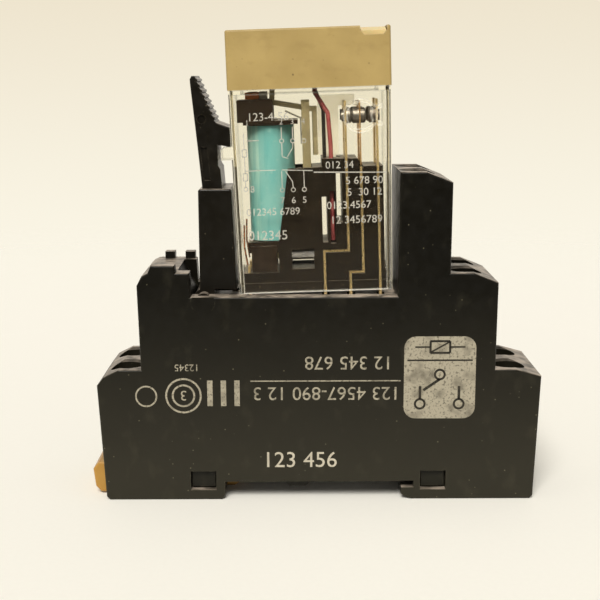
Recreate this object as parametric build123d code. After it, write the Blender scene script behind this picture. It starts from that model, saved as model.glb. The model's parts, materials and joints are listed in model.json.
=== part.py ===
# Plug-in control relay in a rail-mounting screw-terminal socket, in millimetres.
# +X runs along the socket towards its contact terminals, +Z is up from the rail,
# and the origin is the centre of the whole object's footprint.
from build123d import *
import os

# ---- socket: overall sizes -------------------------------------------------------------
SOCKET_WIDTH = 19.7
HALF_WIDTH = SOCKET_WIDTH / 2
WALL = 1.7
INNER_HALF = HALF_WIDTH - WALL
HALF_LENGTH = 42.0
LEFT_FOOT_X = -39.0
LEFT_END_X = -40.1
RIGHT_FOOT_X = 41.15
LEFT_LOW_Z = 25.2
LEFT_MID_Z = 44.65
RIGHT_LOW_Z = 25.1
RIGHT_MID_Z = 43.1
RIGHT_TOP_Z = 61.4
SIDE_WALL_Z = 38.8
SEAT_Z = 38.35
SEAT_HALF_WIDTH = 7.2
TOWER_X = 15.3
CAVITY_TOP_Z = 13.5
EDGE_R = 0.35
FOOT_BEVEL = 0.6
SHELF_Z = 43.25
SEAT_X0 = -15.5
CAVITY_X0 = -37.4
CAVITY_X1 = 39.5
BASE_GAP = 0.1
BASE_TOP_Z = 5.3
# how far a cut runs on past the face that it opens
PAST = 1.0
# snap tabs of the base: positions along X, half width, and limits along Z
SNAP_TABS_X = (-20.7, 22.3)
SNAP_TAB_HALF = 2.1
SNAP_TAB_Z = (2.3, 5.2)
SNAP_TAB_PROUD = 0.75
SNAP_GAP_X = 0.3
SNAP_GAP_Z = 0.4
# ridge and pegs of the marking tag on the left step
TAG_POSTS_X = (-27.9, -23.95)
TAG_POST_HALF = 0.95
TAG_POST_Y0 = 7.6
TAG_RIDGE_Y1 = -7.5

# ---- rail slot (35 mm top-hat rail) ------------------------------------------------------
RAIL_ROOF_Z = 3.55
RAIL_LIP_Z = 2.3
RAIL_LEFT_X = -16.7
RAIL_RIGHT_X = 18.7
HOOK_TIP_X = 16.4
RAIL_BEVEL = 0.7
RAIL_BEVEL_Z = 1.0
RAIL_RELIEF = 0.1

# ---- screw terminals -----------------------------------------------------------------------
TERMINAL_Y = 4.9
WELL_R = 3.1
HEAD_R = 2.7
HEAD_HEIGHT = 2.0
HEAD_DEPTH = 3.6
SHANK_R = 1.5
SHANK_LENGTH = 5.8
WASHER_SIDE = 5.6
WASHER_THICKNESS = 0.9
PLATE_DROP = 8.5
PLATE_HALF = 2.8
CHAMBER_HALF = 3.2
ENTRY_WIDTH = 4.4
ENTRY_HEIGHT = 3.8
ENTRY_REACH = 9.0
STRIP_THICKNESS = 0.8
WELL_BEVEL = 0.45
CHAMBER_DEPTH = 6.3
SHANK_GAP = 0.08
SLOT_HALF = 0.4
# screw position along X, tier height and outward side of each pair of terminals
TERMINALS = {
    "coil": (-35.0, LEFT_LOW_Z, -1),
    "nc": (36.6, RIGHT_LOW_Z, 1),
    "common": (28.05, RIGHT_MID_Z, 1),
    "no": (19.1, RIGHT_TOP_Z, 1),
}

# ---- socket contacts: spring clip under each plug blade, strip and bends ---------------------
BRIDGE_Z = 31.8
CONTACT_HALF_Y = 1.2
CLIP_HALF_X = 1.0
LEAF_X = 0.75
LEAF_HALF = 0.2
LEAF_TOP_Z = 37.4
CHANNEL_GAP = 0.2
CHANNEL_GAP_Y = 0.15
PLATE_LAP = 2.0
COMMON_BEND_X = 23.4
COMMON_BEND_Z = 28.4
NO_BEND_X = 16.9
# the rocked relay carries the tips of its blades this far along X
BLADE_TIP_SHIFT = 0.08

# ---- relay: placed slightly rocked in its socket ---------------------------------------------
ROCK_DEG = 1.8
RELAY_X = 0.46
RELAY_Z = 39.15
CASE_FOOT_HALF = 14.1
CASE_TOP_HALF = 14.6
CASE_HALF_Y = 6.45
CASE_WALL = 0.85
CASE_HEIGHT = 37.0
NECK_HALF = 13.2
NECK_HALF_Y = 5.2
NECK_TOP_Z = 41.0
NECK_WALL = 0.8
CASE_CHAMFER = 0.35
# openings in the neck's top for the two wires and the button's plunger: X limits, Y limits
WIRE_HOLE = (0.0, 2.0, -2.6, 0.3)
PLUNGER_HOLE = (9.3, 10.9, -1.1, 1.1)
# moulded ring marks inside the front wall: position along X, outer radius
RING_MARKS = ((9.0, 3.0), (12.9, 1.9))
RING_MARK_WIDTH = 0.55
RING_MARK_HEIGHT = 0.3
LUG_HALF_Y = 3.0
CAP_HALF = 14.7
CAP_HALF_Y = 6.65
CAP_TOP_Z = 47.5
CAP_WALL = 1.1
CAP_GAP = 0.15
CAP_CORNER_R = 0.5
BUTTON_WELL_X0 = 9.3
BUTTON_WELL_X1 = 14.1
BUTTON_WELL_Y0 = -6.1
BUTTON_WELL_Y1 = 1.4
BUTTON_TOP_Z = 47.3
BUTTON_GAP = 0.15
LENS_X = -6.0
LENS_R = 1.65
LED_R = 1.25
LED_COLLAR_R = 1.55
BOARD_BOTTOM_Z = 42.2
BOARD_TOP_Z = 43.0
BOARD_HALF_Y = 4.4
RESISTOR_Y = 2.4
RESISTOR_Z = 44.2
RESISTOR_R = 0.8
LEAD_R = 0.25
LEAD_X0 = -3.2
LEAD_X1 = 2.8
BASE_HALF_Y = 5.3
PLATE_HALF_X = 13.2
PLATE_TOP_Z = 3.7
FLANGE_HALF_Y = 5.55
FLANGE_TOP_Z = 1.8
# plug blades: distance from the relay's middle, along and across
BLADE_X = {"coil": -12.2, "nc": 1.8, "common": 6.5, "no": 12.0}
BLADE_Y = 3.75
BLADE_WIDTH = 2.4
BLADE_THICKNESS = 0.5
BLADE_LENGTH = 4.8
BLADE_TAPER = 0.8
BLADE_TIP_HALF = 0.1
ROW_INNER_Y = 2.0
ROW_OUTER_Y = 5.0
COIL_STRIP_OUTER_Y = 4.5

# window with a snap nib in the base's side walls: X limits, then Z limits
NIB_WINDOW = (-4.2, -0.1, 4.2, 7.9)
SNAP_WALL_Y = 4.55
NIB_PROUD = 0.65
# wires inside the relay: radii and positions
RED_WIRE_R = 0.4
BLACK_WIRE_R = 0.35
RED_WIRE_X = 3.55
RED_WIRE_Y = -3.6
BLACK_WIRE_X = 2.4
BLACK_WIRE_Y = -2.3
WIRE_HOLE_GAP = 0.1

# ---- coil and magnet ------------------------------------------------------------------------
COIL_X = -7.4
COIL_BOTTOM_Z = 9.4
COIL_TOP_Z = 30.6
TAPE_R = 4.35
WINDING_R = 4.1
TUBE_R = 2.5
CORE_R = 2.1
POLE_TOP_Z = 36.6
POLE_X0 = -11.15
POLE_X1 = -7.75
POLE_SLOT_X = -9.6
POLE_SLOT_WIDTH = 0.5
POLE_HALF_Y = 3.6
POLE_BOTTOM_Z = 31.5
RING_Z = (35.3, 36.5)
CORE_TENON_R = 1.5
YOKE_FOOT_Z = (6.0, 7.1)
YOKE_TOP_Z = 34.8
YOKE_HALF_Y = 4.0
FORK_BOTTOM_Z = 32.65
YOKE_BACK_X0 = -1.6
YOKE_BACK_X1 = -0.1
ARMATURE_LEG_X = 0.8
CARD_X0 = 1.4
ARMATURE_PIVOT = (-1.0, 33.6)
ARMATURE_SWING_DEG = 3.0
ARMATURE_THICKNESS = 0.9
ARMATURE_HALF_Y = 2.5

# ---- contacts -------------------------------------------------------------------------------
CONTACT_Z = 31.8
CONTACT_R = 1.4
NC_X = 6.3
MOVING_X = 8.94
NO_X = 12.0
STEM_R = 0.65
STEM_HOLE_R = 0.7
TAIL_R = 1.0
NC_FACE_X = 7.45
MOVING_LEFT_FACE_X = 7.48
MOVING_RIGHT_FACE_X = 10.03
NO_FACE_X = 10.49
MOVING_THICKNESS = 0.25
MOVING_ROOT_Z = 22.9
MOVING_TOP_Z = 34.4
WAIST_HALF = 0.35
FIXED_THICKNESS = 0.4

# ---- retention lever ------------------------------------------------------------------------
LEVER_PIVOT = (-20.2, 37.9)
LEVER_HALF_Y = 6.2
STEM_HALF_Y = 5.2
TRUNNION_R = 1.3
TRUNNION_END_Y = 8.0
BOSS_R = 2.2
BOSS_PROUD = 0.06
PIVOT_CLEARANCE = 0.06
POCKET_HALF_Y = 6.5
TOE_HALF_Y = 1.8
GRIP_EDGE_R = 0.2
TOE_GAP = 0.3
HUB_R = 1.9
RIB_COUNT = 8
RIB_STEP = (0.43, -0.97)
FIRST_RIB = (-21.1, 77.9)
PANEL_DEPTH = 0.35
DIMPLE_X = -20.2
DIMPLE_Z = 70.6
DIMPLE_R = 0.8

# ---- rail clip ------------------------------------------------------------------------------
CLIP_TAB_HALF_Y = 6.5
CLIP_BAR_HALF_Y = 4.0
CLIP_KEEL_HALF_Y = 3.0
CLIP_GAP = 0.2
CLIP_NOSE_X = -14.0
CLIP_TAB_X = -39.5
CLIP_BAR_Z = (1.8, 3.35)
CLIP_KEEL_Z = (0.4, 2.1)


def block(x0, x1, y0, y1, z0, z1):
    """Box between two corners."""
    centre = ((x0 + x1) / 2, (y0 + y1) / 2, (z0 + z1) / 2)
    return Pos(*centre) * Box(x1 - x0, y1 - y0, z1 - z0)


def prism(points, y0, y1):
    """Outline in the XZ plane, extruded from y0 to y1."""
    face = Plane.XZ.offset(-y1) * Polygon(*points, align=None)
    return extrude(face, amount=y1 - y0, dir=(0, -1, 0))


def rod_x(x0, x1, y, z, radius):
    """Cylinder along X."""
    return Pos((x0 + x1) / 2, y, z) * Rot(0, 90, 0) * Cylinder(radius, x1 - x0)


def rod_y(x, z, radius, y0, y1):
    """Cylinder along Y."""
    return Pos(x, (y0 + y1) / 2, z) * Rot(90, 0, 0) * Cylinder(radius, y1 - y0)


def rod_z(x, y, radius, z0, z1):
    """Cylinder along Z."""
    return Pos(x, y, (z0 + z1) / 2) * Cylinder(radius, z1 - z0)


def rounded_sides(body, radius):
    """Rounds the edges of a prism's two end faces."""
    return fillet(body.faces().filter_by(Axis.Y).edges(), radius)


def strip(points, thickness, y0, y1):
    """Bent flat strip seen edge-on in XZ: one bar for each run, with square corners."""
    runs = []
    half = thickness / 2
    for (xa, za), (xb, zb) in zip(points, points[1:]):
        length = ((xb - xa) ** 2 + (zb - za) ** 2) ** 0.5
        ux, uz = (xb - xa) / length, (zb - za) / length
        xa, za, xb, zb = xa - ux * half, za - uz * half, xb + ux * half, zb + uz * half
        nx, nz = -uz * half, ux * half
        corners = [(xa + nx, za + nz), (xb + nx, zb + nz), (xb - nx, zb - nz), (xa - nx, za - nz)]
        runs.append(prism(corners, y0, y1))
    return runs[0].fuse(*runs[1:]) if len(runs) > 1 else runs[0]


def turned(shape, pivot, degrees):
    """Shape turned about a Y axis through pivot; positive leans its top to the left."""
    x, z = pivot
    return Pos(x, 0, z) * Rot(0, -degrees, 0) * Pos(-x, 0, -z) * shape


def rear(y0, y1, row):
    """Y limits of a contact row: row 1 is the front one, row 2 its mirror image."""
    return (-y1, -y0) if row == 1 else (y0, y1)


def round_wire(points, radius, bend):
    """Insulated wire along straight runs joined by arcs."""
    route = FilletPolyline(*points, radius=bend)
    section = Plane(origin=route @ 0, z_dir=route % 0) * Circle(radius)
    return sweep(section, path=route)


# ---- socket ---------------------------------------------------------------------------------
def socket_outline():
    """Stepped side view of the socket, from the left foot round over the top."""
    return [
        (LEFT_FOOT_X + FOOT_BEVEL, 0), (LEFT_FOOT_X, FOOT_BEVEL), (LEFT_END_X, 22.2), (-38.85, 23.8),
        (-36.05, LEFT_LOW_Z), (-31.85, LEFT_LOW_Z), (-32.2, 40.9), (-31.25, 42.7),
        (-30.15, SHELF_Z), (-29.55, LEFT_MID_Z), (-25.3, LEFT_MID_Z), (-25.05, SHELF_Z),
        (-22.65, SHELF_Z), (-22.4, SIDE_WALL_Z), (TOWER_X, SIDE_WALL_Z), (TOWER_X + 0.2, RIGHT_TOP_Z),
        (20.2, RIGHT_TOP_Z), (24.95, 59.5), (24.85, RIGHT_MID_Z), (29.1, RIGHT_MID_Z),
        (33.6, 41.3), (33.45, RIGHT_LOW_Z), (37.3, RIGHT_LOW_Z), (HALF_LENGTH, 23.8),
        (RIGHT_FOOT_X, FOOT_BEVEL), (RIGHT_FOOT_X - FOOT_BEVEL, 0),
    ]


def rail_slot():
    """Space for the rail: open below, undercut on the right for the fixed hook."""
    mouth_x = RAIL_LEFT_X - RAIL_BEVEL
    relieved_z = RAIL_ROOF_Z + RAIL_RELIEF
    outline = [
        (mouth_x, -PAST), (mouth_x, 0), (RAIL_LEFT_X, RAIL_BEVEL_Z), (RAIL_LEFT_X, RAIL_ROOF_Z),
        (HOOK_TIP_X - 2 * RAIL_RELIEF, RAIL_ROOF_Z), (HOOK_TIP_X - RAIL_RELIEF, relieved_z),
        (RAIL_RIGHT_X, relieved_z), (RAIL_RIGHT_X, RAIL_LIP_Z), (HOOK_TIP_X, RAIL_LIP_Z),
        (HOOK_TIP_X, RAIL_BEVEL_Z), (RAIL_RIGHT_X, 0), (RAIL_RIGHT_X, -PAST),
    ]
    return prism(outline, -HALF_WIDTH - PAST, HALF_WIDTH + PAST)


def terminal_cuts(x, tier_z, side, y):
    """Screwdriver well, clamp chamber and wire entry of one terminal."""
    chamber_top = tier_z - HEAD_DEPTH - HEAD_HEIGHT
    well = rod_z(x, y, WELL_R, chamber_top - PAST / 2, tier_z + PAST)
    rim = Pos(x, y, tier_z - 0.2) * Cone(WELL_R, WELL_R + WELL_BEVEL, WELL_BEVEL)
    chamber = block(x - CHAMBER_HALF, x + CHAMBER_HALF, y - CHAMBER_HALF, y + CHAMBER_HALF,
                    chamber_top - CHAMBER_DEPTH, chamber_top)
    entry_z = tier_z - PLATE_DROP + STRIP_THICKNESS / 2
    far_x = x + side * ENTRY_REACH
    low_x, high_x = min(x, far_x), max(x, far_x)
    half = ENTRY_WIDTH / 2
    entry = block(low_x, high_x, y - half, y + half, entry_z, entry_z + ENTRY_HEIGHT)
    return [well, rim, chamber, entry]


def clip_x(name):
    """Where a plug blade meets its socket contact."""
    return RELAY_X + BLADE_X[name] + BLADE_TIP_SHIFT


def contact_route(name):
    """Bent route of a socket contact, from its relay clip to its clamping plate."""
    x, tier_z, side = TERMINALS[name]
    plate_z = tier_z - PLATE_DROP
    start = clip_x(name)
    bends = {
        "coil": [(start, plate_z), (x + PLATE_LAP, plate_z)],
        "nc": [(start, plate_z), (x - PLATE_LAP, plate_z)],
        "common": [(start, COMMON_BEND_Z), (COMMON_BEND_X, COMMON_BEND_Z),
                   (COMMON_BEND_X, plate_z), (x - PLATE_LAP, plate_z)],
        "no": [(NO_BEND_X, BRIDGE_Z), (NO_BEND_X, plate_z), (x, plate_z)],
    }
    return [(start, BRIDGE_Z)] + bends[name]


def socket_contact(name, row):
    """Spring clip for one plug blade, its bent strip and its tapped clamping plate."""
    x, tier_z, side = TERMINALS[name]
    y0, y1 = rear(BLADE_Y - CONTACT_HALF_Y, BLADE_Y + CONTACT_HALF_Y, row)
    half = STRIP_THICKNESS / 2
    body = strip(contact_route(name), STRIP_THICKNESS, y0, y1)
    middle = clip_x(name)
    body += block(middle - CLIP_HALF_X, middle + CLIP_HALF_X, y0, y1, BRIDGE_Z - half, BRIDGE_Z + half)
    for face in (-1, 1):
        leaf_x = middle + face * LEAF_X
        body += block(leaf_x - LEAF_HALF, leaf_x + LEAF_HALF, y0, y1, BRIDGE_Z, LEAF_TOP_Z)
    plate_z = tier_z - PLATE_DROP
    y = -TERMINAL_Y if row == 1 else TERMINAL_Y
    body += block(x - PLATE_HALF, x + PLATE_HALF, y - PLATE_HALF, y + PLATE_HALF,
                  plate_z - half, plate_z + half)
    return body - rod_z(x, y, SHANK_R + SHANK_GAP, plate_z - PAST, plate_z + PAST)


def contact_channel(name, row):
    """Passage moulded in the housing for one socket contact, with its blade slot."""
    half_y = CONTACT_HALF_Y + CHANNEL_GAP_Y
    y0, y1 = rear(BLADE_Y - half_y, BLADE_Y + half_y, row)
    passage = strip(contact_route(name), STRIP_THICKNESS + 2 * CHANNEL_GAP, y0, y1)
    middle = clip_x(name)
    room_half, slot_half = 1.25, 0.75
    passage += block(middle - room_half, middle + room_half, y0, y1, BRIDGE_Z - 0.7, LEAF_TOP_Z + 0.3)
    passage += block(middle - slot_half, middle + slot_half, y0, y1, LEAF_TOP_Z, SEAT_Z + PAST)
    return passage


def lever_pocket():
    """Room for the lever's root, its outward swing and its lifting toe."""
    x, z = LEVER_PIVOT
    floor_z, over_z = 35.6, 60.0
    swing = [(-22.6, floor_z), (-22.6, 38.0), (-25.0, 42.8), (-25.0, over_z), (-13.0, over_z),
             (-13.0, SEAT_Z), (SEAT_X0, SEAT_Z), (SEAT_X0, floor_z)]
    pocket = prism(swing, -POCKET_HALF_Y, POCKET_HALF_Y)
    toe_room = TOE_HALF_Y + TOE_GAP
    pocket += block(SEAT_X0 - 0.1, -12.0, -toe_room, toe_room, 36.2, SEAT_Z + PAST)
    hole_end = TRUNNION_END_Y + 0.2
    return pocket + rod_y(x, z, TRUNNION_R + PIVOT_CLEARANCE, -hole_end, hole_end)


def pivot_bosses():
    """Flat round bosses over the lever's trunnions, a little proud of the side walls."""
    x, z = LEVER_PIVOT
    outer_y = HALF_WIDTH + BOSS_PROUD
    above = block(x - BOSS_R, x + BOSS_R, -outer_y - PAST, outer_y + PAST, SIDE_WALL_Z, SIDE_WALL_Z + BOSS_R)
    return [rod_y(x, z, BOSS_R, *rear(POCKET_HALF_Y, outer_y, row)) - above for row in (1, 2)]


def label_posts():
    """Two pegs on the rear edge of the left step that hold a marking tag."""
    foot_z, top_z = 41.5, 44.6
    return [block(x - TAG_POST_HALF, x + TAG_POST_HALF, TAG_POST_Y0, HALF_WIDTH, foot_z, top_z)
            for x in TAG_POSTS_X]


def snap_windows():
    """Windows through both side walls for the base's snap tabs."""
    half = SNAP_TAB_HALF + SNAP_GAP_X
    z0, z1 = SNAP_TAB_Z[0] - SNAP_GAP_Z, SNAP_TAB_Z[1] + SNAP_GAP_Z
    return [block(x - half, x + half, -HALF_WIDTH - PAST, HALF_WIDTH + PAST, z0, z1)
            for x in SNAP_TABS_X]


def socket_housing():
    """Stepped moulding with rounded side edges, hollow below, with all its terminal cavities."""
    body = rounded_sides(prism(socket_outline(), -HALF_WIDTH, HALF_WIDTH), EDGE_R)
    body = body.fuse(*pivot_bosses())
    cuts = [rail_slot(), lever_pocket()]
    cuts.append(block(CAVITY_X0, CAVITY_X1, -INNER_HALF, INNER_HALF, -PAST, CAVITY_TOP_Z))
    cuts.append(block(SEAT_X0, TOWER_X, -SEAT_HALF_WIDTH, SEAT_HALF_WIDTH, SEAT_Z, RIGHT_TOP_Z + PAST))
    cuts.append(block(-33, -22.4, TAG_RIDGE_Y1, HALF_WIDTH + PAST, SHELF_Z, LEFT_MID_Z + PAST))
    bar = CLIP_BAR_HALF_Y + CLIP_GAP
    cuts.append(block(-HALF_LENGTH - PAST, CAVITY_X0 + PAST, -bar, bar, -PAST, RAIL_ROOF_Z))
    cuts.extend(snap_windows())
    for name, (x, tier_z, side) in TERMINALS.items():
        for row, y in ((1, -TERMINAL_Y), (2, TERMINAL_Y)):
            cuts.extend(terminal_cuts(x, tier_z, side, y))
            cuts.append(contact_channel(name, row))
    body = body.cut(*cuts)
    return body.fuse(*label_posts())


def socket_base():
    """Snap-in bottom: two feet, the bridge over the rail, the fixed hook and the clip guide."""
    y = INNER_HALF - BASE_GAP
    body = block(CAVITY_X0 + BASE_GAP, CAVITY_X1 - BASE_GAP, -y, y, 0, BASE_TOP_Z)
    body = body.cut(rail_slot())
    rib_root_z = RAIL_ROOF_Z + 0.3
    body += prism([(-5.65, rib_root_z), (-5.65, 3.1), (-4.6, 2.1), (-1.5, 2.1),
                   (-0.45, 3.1), (-0.45, rib_root_z)], -y, y)
    bar = CLIP_BAR_HALF_Y + CLIP_GAP
    keel = CLIP_KEEL_HALF_Y + CLIP_GAP
    guide_x = (LEFT_FOOT_X + PAST, RAIL_LEFT_X + PAST)
    guide_z = CLIP_BAR_Z[0] - CLIP_GAP
    guide = block(*guide_x, -bar, bar, guide_z, CLIP_BAR_Z[1] + CLIP_GAP)
    guide += block(*guide_x, -keel, keel, -PAST, CLIP_BAR_Z[0])
    core_out = block(25.5, 37.5, -6.2, 6.2, -PAST, 3.6)
    body = body.cut(guide, core_out)
    for x in SNAP_TABS_X:
        for row in (1, 2):
            tab_y = rear(y - 0.1, y + SNAP_TAB_PROUD, row)
            body += block(x - SNAP_TAB_HALF, x + SNAP_TAB_HALF, *tab_y, *SNAP_TAB_Z)
    return body


def din_clip():
    """Sliding foot: pull tab outside, guided bar and the nose that grips the rail's edge."""
    low_z, high_z = CLIP_KEEL_Z
    tab = [(CLIP_TAB_X, low_z), (-40.6, low_z), (-41.6, 1.5), (-HALF_LENGTH, 4.9), (-40.9, 6.3),
           (CLIP_TAB_X, 6.3)]
    body = rounded_sides(prism(tab, -CLIP_TAB_HALF_Y, CLIP_TAB_HALF_Y), EDGE_R)
    root_x = CLIP_TAB_X - CLIP_GAP
    body += block(root_x, RAIL_LEFT_X - 0.3, -CLIP_BAR_HALF_Y, CLIP_BAR_HALF_Y, *CLIP_BAR_Z)
    keel = [(root_x, low_z), (CLIP_NOSE_X - 1.3, low_z), (CLIP_NOSE_X, 1.2), (CLIP_NOSE_X, high_z),
            (root_x, high_z)]
    body += prism(keel, -CLIP_KEEL_HALF_Y, CLIP_KEEL_HALF_Y)
    slot = block(-36.5, -27.5, -1.0, 1.0, -PAST, CLIP_BAR_Z[1] + PAST)
    return body - slot


def terminal_screws():
    """Eight clamp screws with crossed driver slots."""
    screws = []
    for x, tier_z, side in TERMINALS.values():
        for y in (-TERMINAL_Y, TERMINAL_Y):
            top = tier_z - HEAD_DEPTH
            head = rod_z(x, y, HEAD_R, top - HEAD_HEIGHT, top)
            head = chamfer(head.edges().group_by(Axis.Z)[-1], 0.35)
            head += rod_z(x, y, SHANK_R, top - HEAD_HEIGHT - SHANK_LENGTH, top - HEAD_HEIGHT)
            reach = HEAD_R + PAST
            head -= block(x - reach, x + reach, y - SLOT_HALF, y + SLOT_HALF, top - 0.9, top + PAST)
            head -= block(x - SLOT_HALF, x + SLOT_HALF, y - 1.7, y + 1.7, top - 1.2, top + PAST)
            screws.append(head)
    return Compound(children=[screw.solid() for screw in screws])


def clamp_washers():
    """Eight square washers that press the wires onto the plates."""
    washers = []
    half = WASHER_SIDE / 2
    for x, tier_z, side in TERMINALS.values():
        for y in (-TERMINAL_Y, TERMINAL_Y):
            top = tier_z - HEAD_DEPTH - HEAD_HEIGHT - 0.05
            plate = block(x - half, x + half, y - half, y + half, top - WASHER_THICKNESS, top)
            washers.append(plate - rod_z(x, y, SHANK_R + 0.15, top - 2 * PAST, top + PAST))
    return Compound(children=[washer.solid() for washer in washers])


def lever_grip():
    """Leaning grip with a ribbed thumb face above the hook, seen from the side."""
    top_x, top_z = FIRST_RIB
    rib_dx, rib_dz = RIB_STEP
    outline = [(-20.2, 57.5), (-20.95, 65.4), (-22.1, 76.9), (-22.15, 77.7), (-21.8, 78.3),
               (-21.3, 78.3)]
    for index in range(RIB_COUNT):
        x, z = top_x + index * rib_dx, top_z + index * rib_dz
        outline += [(x, z), (x + 0.32, z - 0.18), (x + 0.34, z - 0.52), (x + 0.1, z - 0.62)]
    outline += [(-17.6, 70.0), (-15.1, 69.1), (-15.0, 65.7), (-15.4, 65.65), (-16.6, 65.9),
                (-17.35, 65.9), (-17.3, 62.2), (-16.9, 61.6), (-16.6, 57.5)]
    return outline


def retention_lever():
    """Pivoting lever: holds the relay by the lug on its case, and lifts it with its toe."""
    x, z = LEVER_PIVOT
    shoulder = [(-21.0, 41.0), (-21.0, 57.8), (-20.7, 58.1), (-15.2, 58.1), (-14.9, 57.8),
                (-14.2, 39.5), (-19.6, 39.5)]
    body = rounded_sides(prism(shoulder, -LEVER_HALF_Y, LEVER_HALF_Y), EDGE_R)
    body += rounded_sides(prism(lever_grip(), -STEM_HALF_Y, STEM_HALF_Y), GRIP_EDGE_R)
    body += rod_y(x, z, HUB_R, -LEVER_HALF_Y, LEVER_HALF_Y)
    web_x, web_z = x + HUB_R, 41.2
    body += prism([(x - 0.8, z), (x - 0.8, web_z), (web_x, web_z), (web_x, z)], -LEVER_HALF_Y, LEVER_HALF_Y)
    body += prism([(x, z - 1.1), (-13.2, z - 1.1), (-12.6, z - 0.5), (-12.6, z), (x, z)],
                  -TOE_HALF_Y, TOE_HALF_Y)
    body += rod_y(x, z, TRUNNION_R, -TRUNNION_END_Y, TRUNNION_END_Y)
    for row in (1, 2):
        panel_y = rear(STEM_HALF_Y - PANEL_DEPTH, STEM_HALF_Y + PAST, row)
        body -= prism([(-19.9, 59.6), (-20.5, 65.6), (-19.3, 65.6), (-18.7, 59.6)], *panel_y)
        body -= rod_y(DIMPLE_X, DIMPLE_Z, DIMPLE_R, *panel_y)
    return body


# ---- relay: everything below is built upright and placed by PLACE ------------------------------
PLACE = Location((RELAY_X, 0, RELAY_Z), (0, -ROCK_DEG, 0))


def ring_mark(x, radius):
    """Raised ring on the inside of the front wall."""
    wall_y = CASE_WALL - CASE_HALF_Y
    ring = rod_y(x, CONTACT_Z, radius, wall_y - 0.1, wall_y + RING_MARK_HEIGHT)
    return ring - rod_y(x, CONTACT_Z, radius - RING_MARK_WIDTH, wall_y - PAST, wall_y + PAST)


def relay_case():
    """Clear dust cover with a neck under the cap and a lug for the lever's hook."""
    outer = [(-CASE_FOOT_HALF, 0), (CASE_FOOT_HALF, 0), (CASE_TOP_HALF, CASE_HEIGHT),
             (-CASE_TOP_HALF, CASE_HEIGHT)]
    foot, top = CASE_FOOT_HALF - CASE_WALL, CASE_TOP_HALF - CASE_WALL
    roof_z = CASE_HEIGHT - NECK_WALL
    inner = [(-foot, -PAST), (foot, -PAST), (top, roof_z), (-top, roof_z)]
    body = prism(outer, -CASE_HALF_Y, CASE_HALF_Y)
    body = chamfer(body.edges().filter_by(Axis.Z, 2).group_by(SortBy.LENGTH)[-1], CASE_CHAMFER)
    body += block(-NECK_HALF, NECK_HALF, -NECK_HALF_Y, NECK_HALF_Y, CASE_HEIGHT - 0.5, NECK_TOP_Z)
    body -= prism(inner, -CASE_HALF_Y + CASE_WALL, CASE_HALF_Y - CASE_WALL)
    hollow_x, hollow_y = NECK_HALF - NECK_WALL, NECK_HALF_Y - NECK_WALL
    body -= block(-hollow_x, hollow_x, -hollow_y, hollow_y, CASE_HEIGHT - PAST, NECK_TOP_Z - NECK_WALL)
    for hole in (WIRE_HOLE, PLUNGER_HOLE):
        body -= block(*hole, NECK_TOP_Z - PAST, NECK_TOP_Z + PAST)
    lug = [(-16.6, 24.4), (-14.0, 24.4), (-14.0, 26.85), (-16.1, 26.85), (-16.6, 26.35)]
    body += prism(lug, -LUG_HALF_Y, LUG_HALF_Y)
    whole, half = [ring_mark(x, radius) for x, radius in RING_MARKS]
    x, radius = RING_MARKS[1]
    half -= block(x, x + radius + PAST, -CASE_HALF_Y, 0, CONTACT_Z - radius - PAST, CONTACT_Z + radius + PAST)
    return body + whole + half


def cap_opening():
    """Notch in the cap's front edge, and the well behind it that the button slides in."""
    over_z = CAP_TOP_Z + PAST
    low_z, side_z = 45.9, 46.7
    notch = [(BUTTON_WELL_X0 + 0.7, low_z), (BUTTON_WELL_X0, side_z), (BUTTON_WELL_X0, over_z),
             (BUTTON_WELL_X1, over_z), (BUTTON_WELL_X1, side_z), (BUTTON_WELL_X1 - 0.7, low_z)]
    well = block(BUTTON_WELL_X0, BUTTON_WELL_X1, BUTTON_WELL_Y0, BUTTON_WELL_Y1, 44.4, over_z)
    return [prism(notch, -CAP_HALF_Y - PAST, BUTTON_WELL_Y1), well]


def relay_cap():
    """Opaque top cover with a lens hole and a notched opening for the test button."""
    body = block(-CAP_HALF, CAP_HALF, -CAP_HALF_Y, CAP_HALF_Y, CASE_HEIGHT, CAP_TOP_Z)
    body = fillet(body.edges().filter_by(Axis.Z), CAP_CORNER_R)
    body = fillet(body.edges().group_by(Axis.Z)[-1], EDGE_R)
    inner_x, inner_y = NECK_HALF + CAP_GAP, NECK_HALF_Y + CAP_GAP
    body -= block(-inner_x, inner_x, -inner_y, inner_y, CASE_HEIGHT - PAST, CAP_TOP_Z - CAP_WALL)
    lens_hole = rod_z(LENS_X, 0, LENS_R + 0.1, CAP_TOP_Z - CAP_WALL - PAST, CAP_TOP_Z + PAST)
    return body.cut(*cap_opening(), lens_hole)


def test_button():
    """Sliding button with a ramped thumb face and a plunger over the contact card."""
    left, right = BUTTON_WELL_X0 + BUTTON_GAP, BUTTON_WELL_X1 - BUTTON_GAP
    front, back = BUTTON_WELL_Y0 + BUTTON_GAP, BUTTON_WELL_Y1 - 0.2
    body = block(left, right, front, back, 45.8, BUTTON_TOP_Z)
    slope = [(-7, 46.4), (-3.2, BUTTON_TOP_Z), (-3.2, BUTTON_TOP_Z + PAST), (-7, BUTTON_TOP_Z + PAST)]
    body -= extrude(Plane.YZ * Polygon(*slope, align=None), amount=BUTTON_WELL_X1 + PAST, both=True)
    skirt = block(left, 13.0, -5.0, back, 43.4, 46.0)
    plunger = block(9.6, 10.6, -0.8, 0.8, 38.4, 43.6)
    return body + skirt + plunger


def indicator_lens():
    """Round window over the indicator lamp, with a bevelled rim."""
    body = rod_z(LENS_X, 0, LENS_R, 46.0, CAP_TOP_Z)
    return chamfer(body.edges().group_by(Axis.Z)[-1], 0.4)


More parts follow.
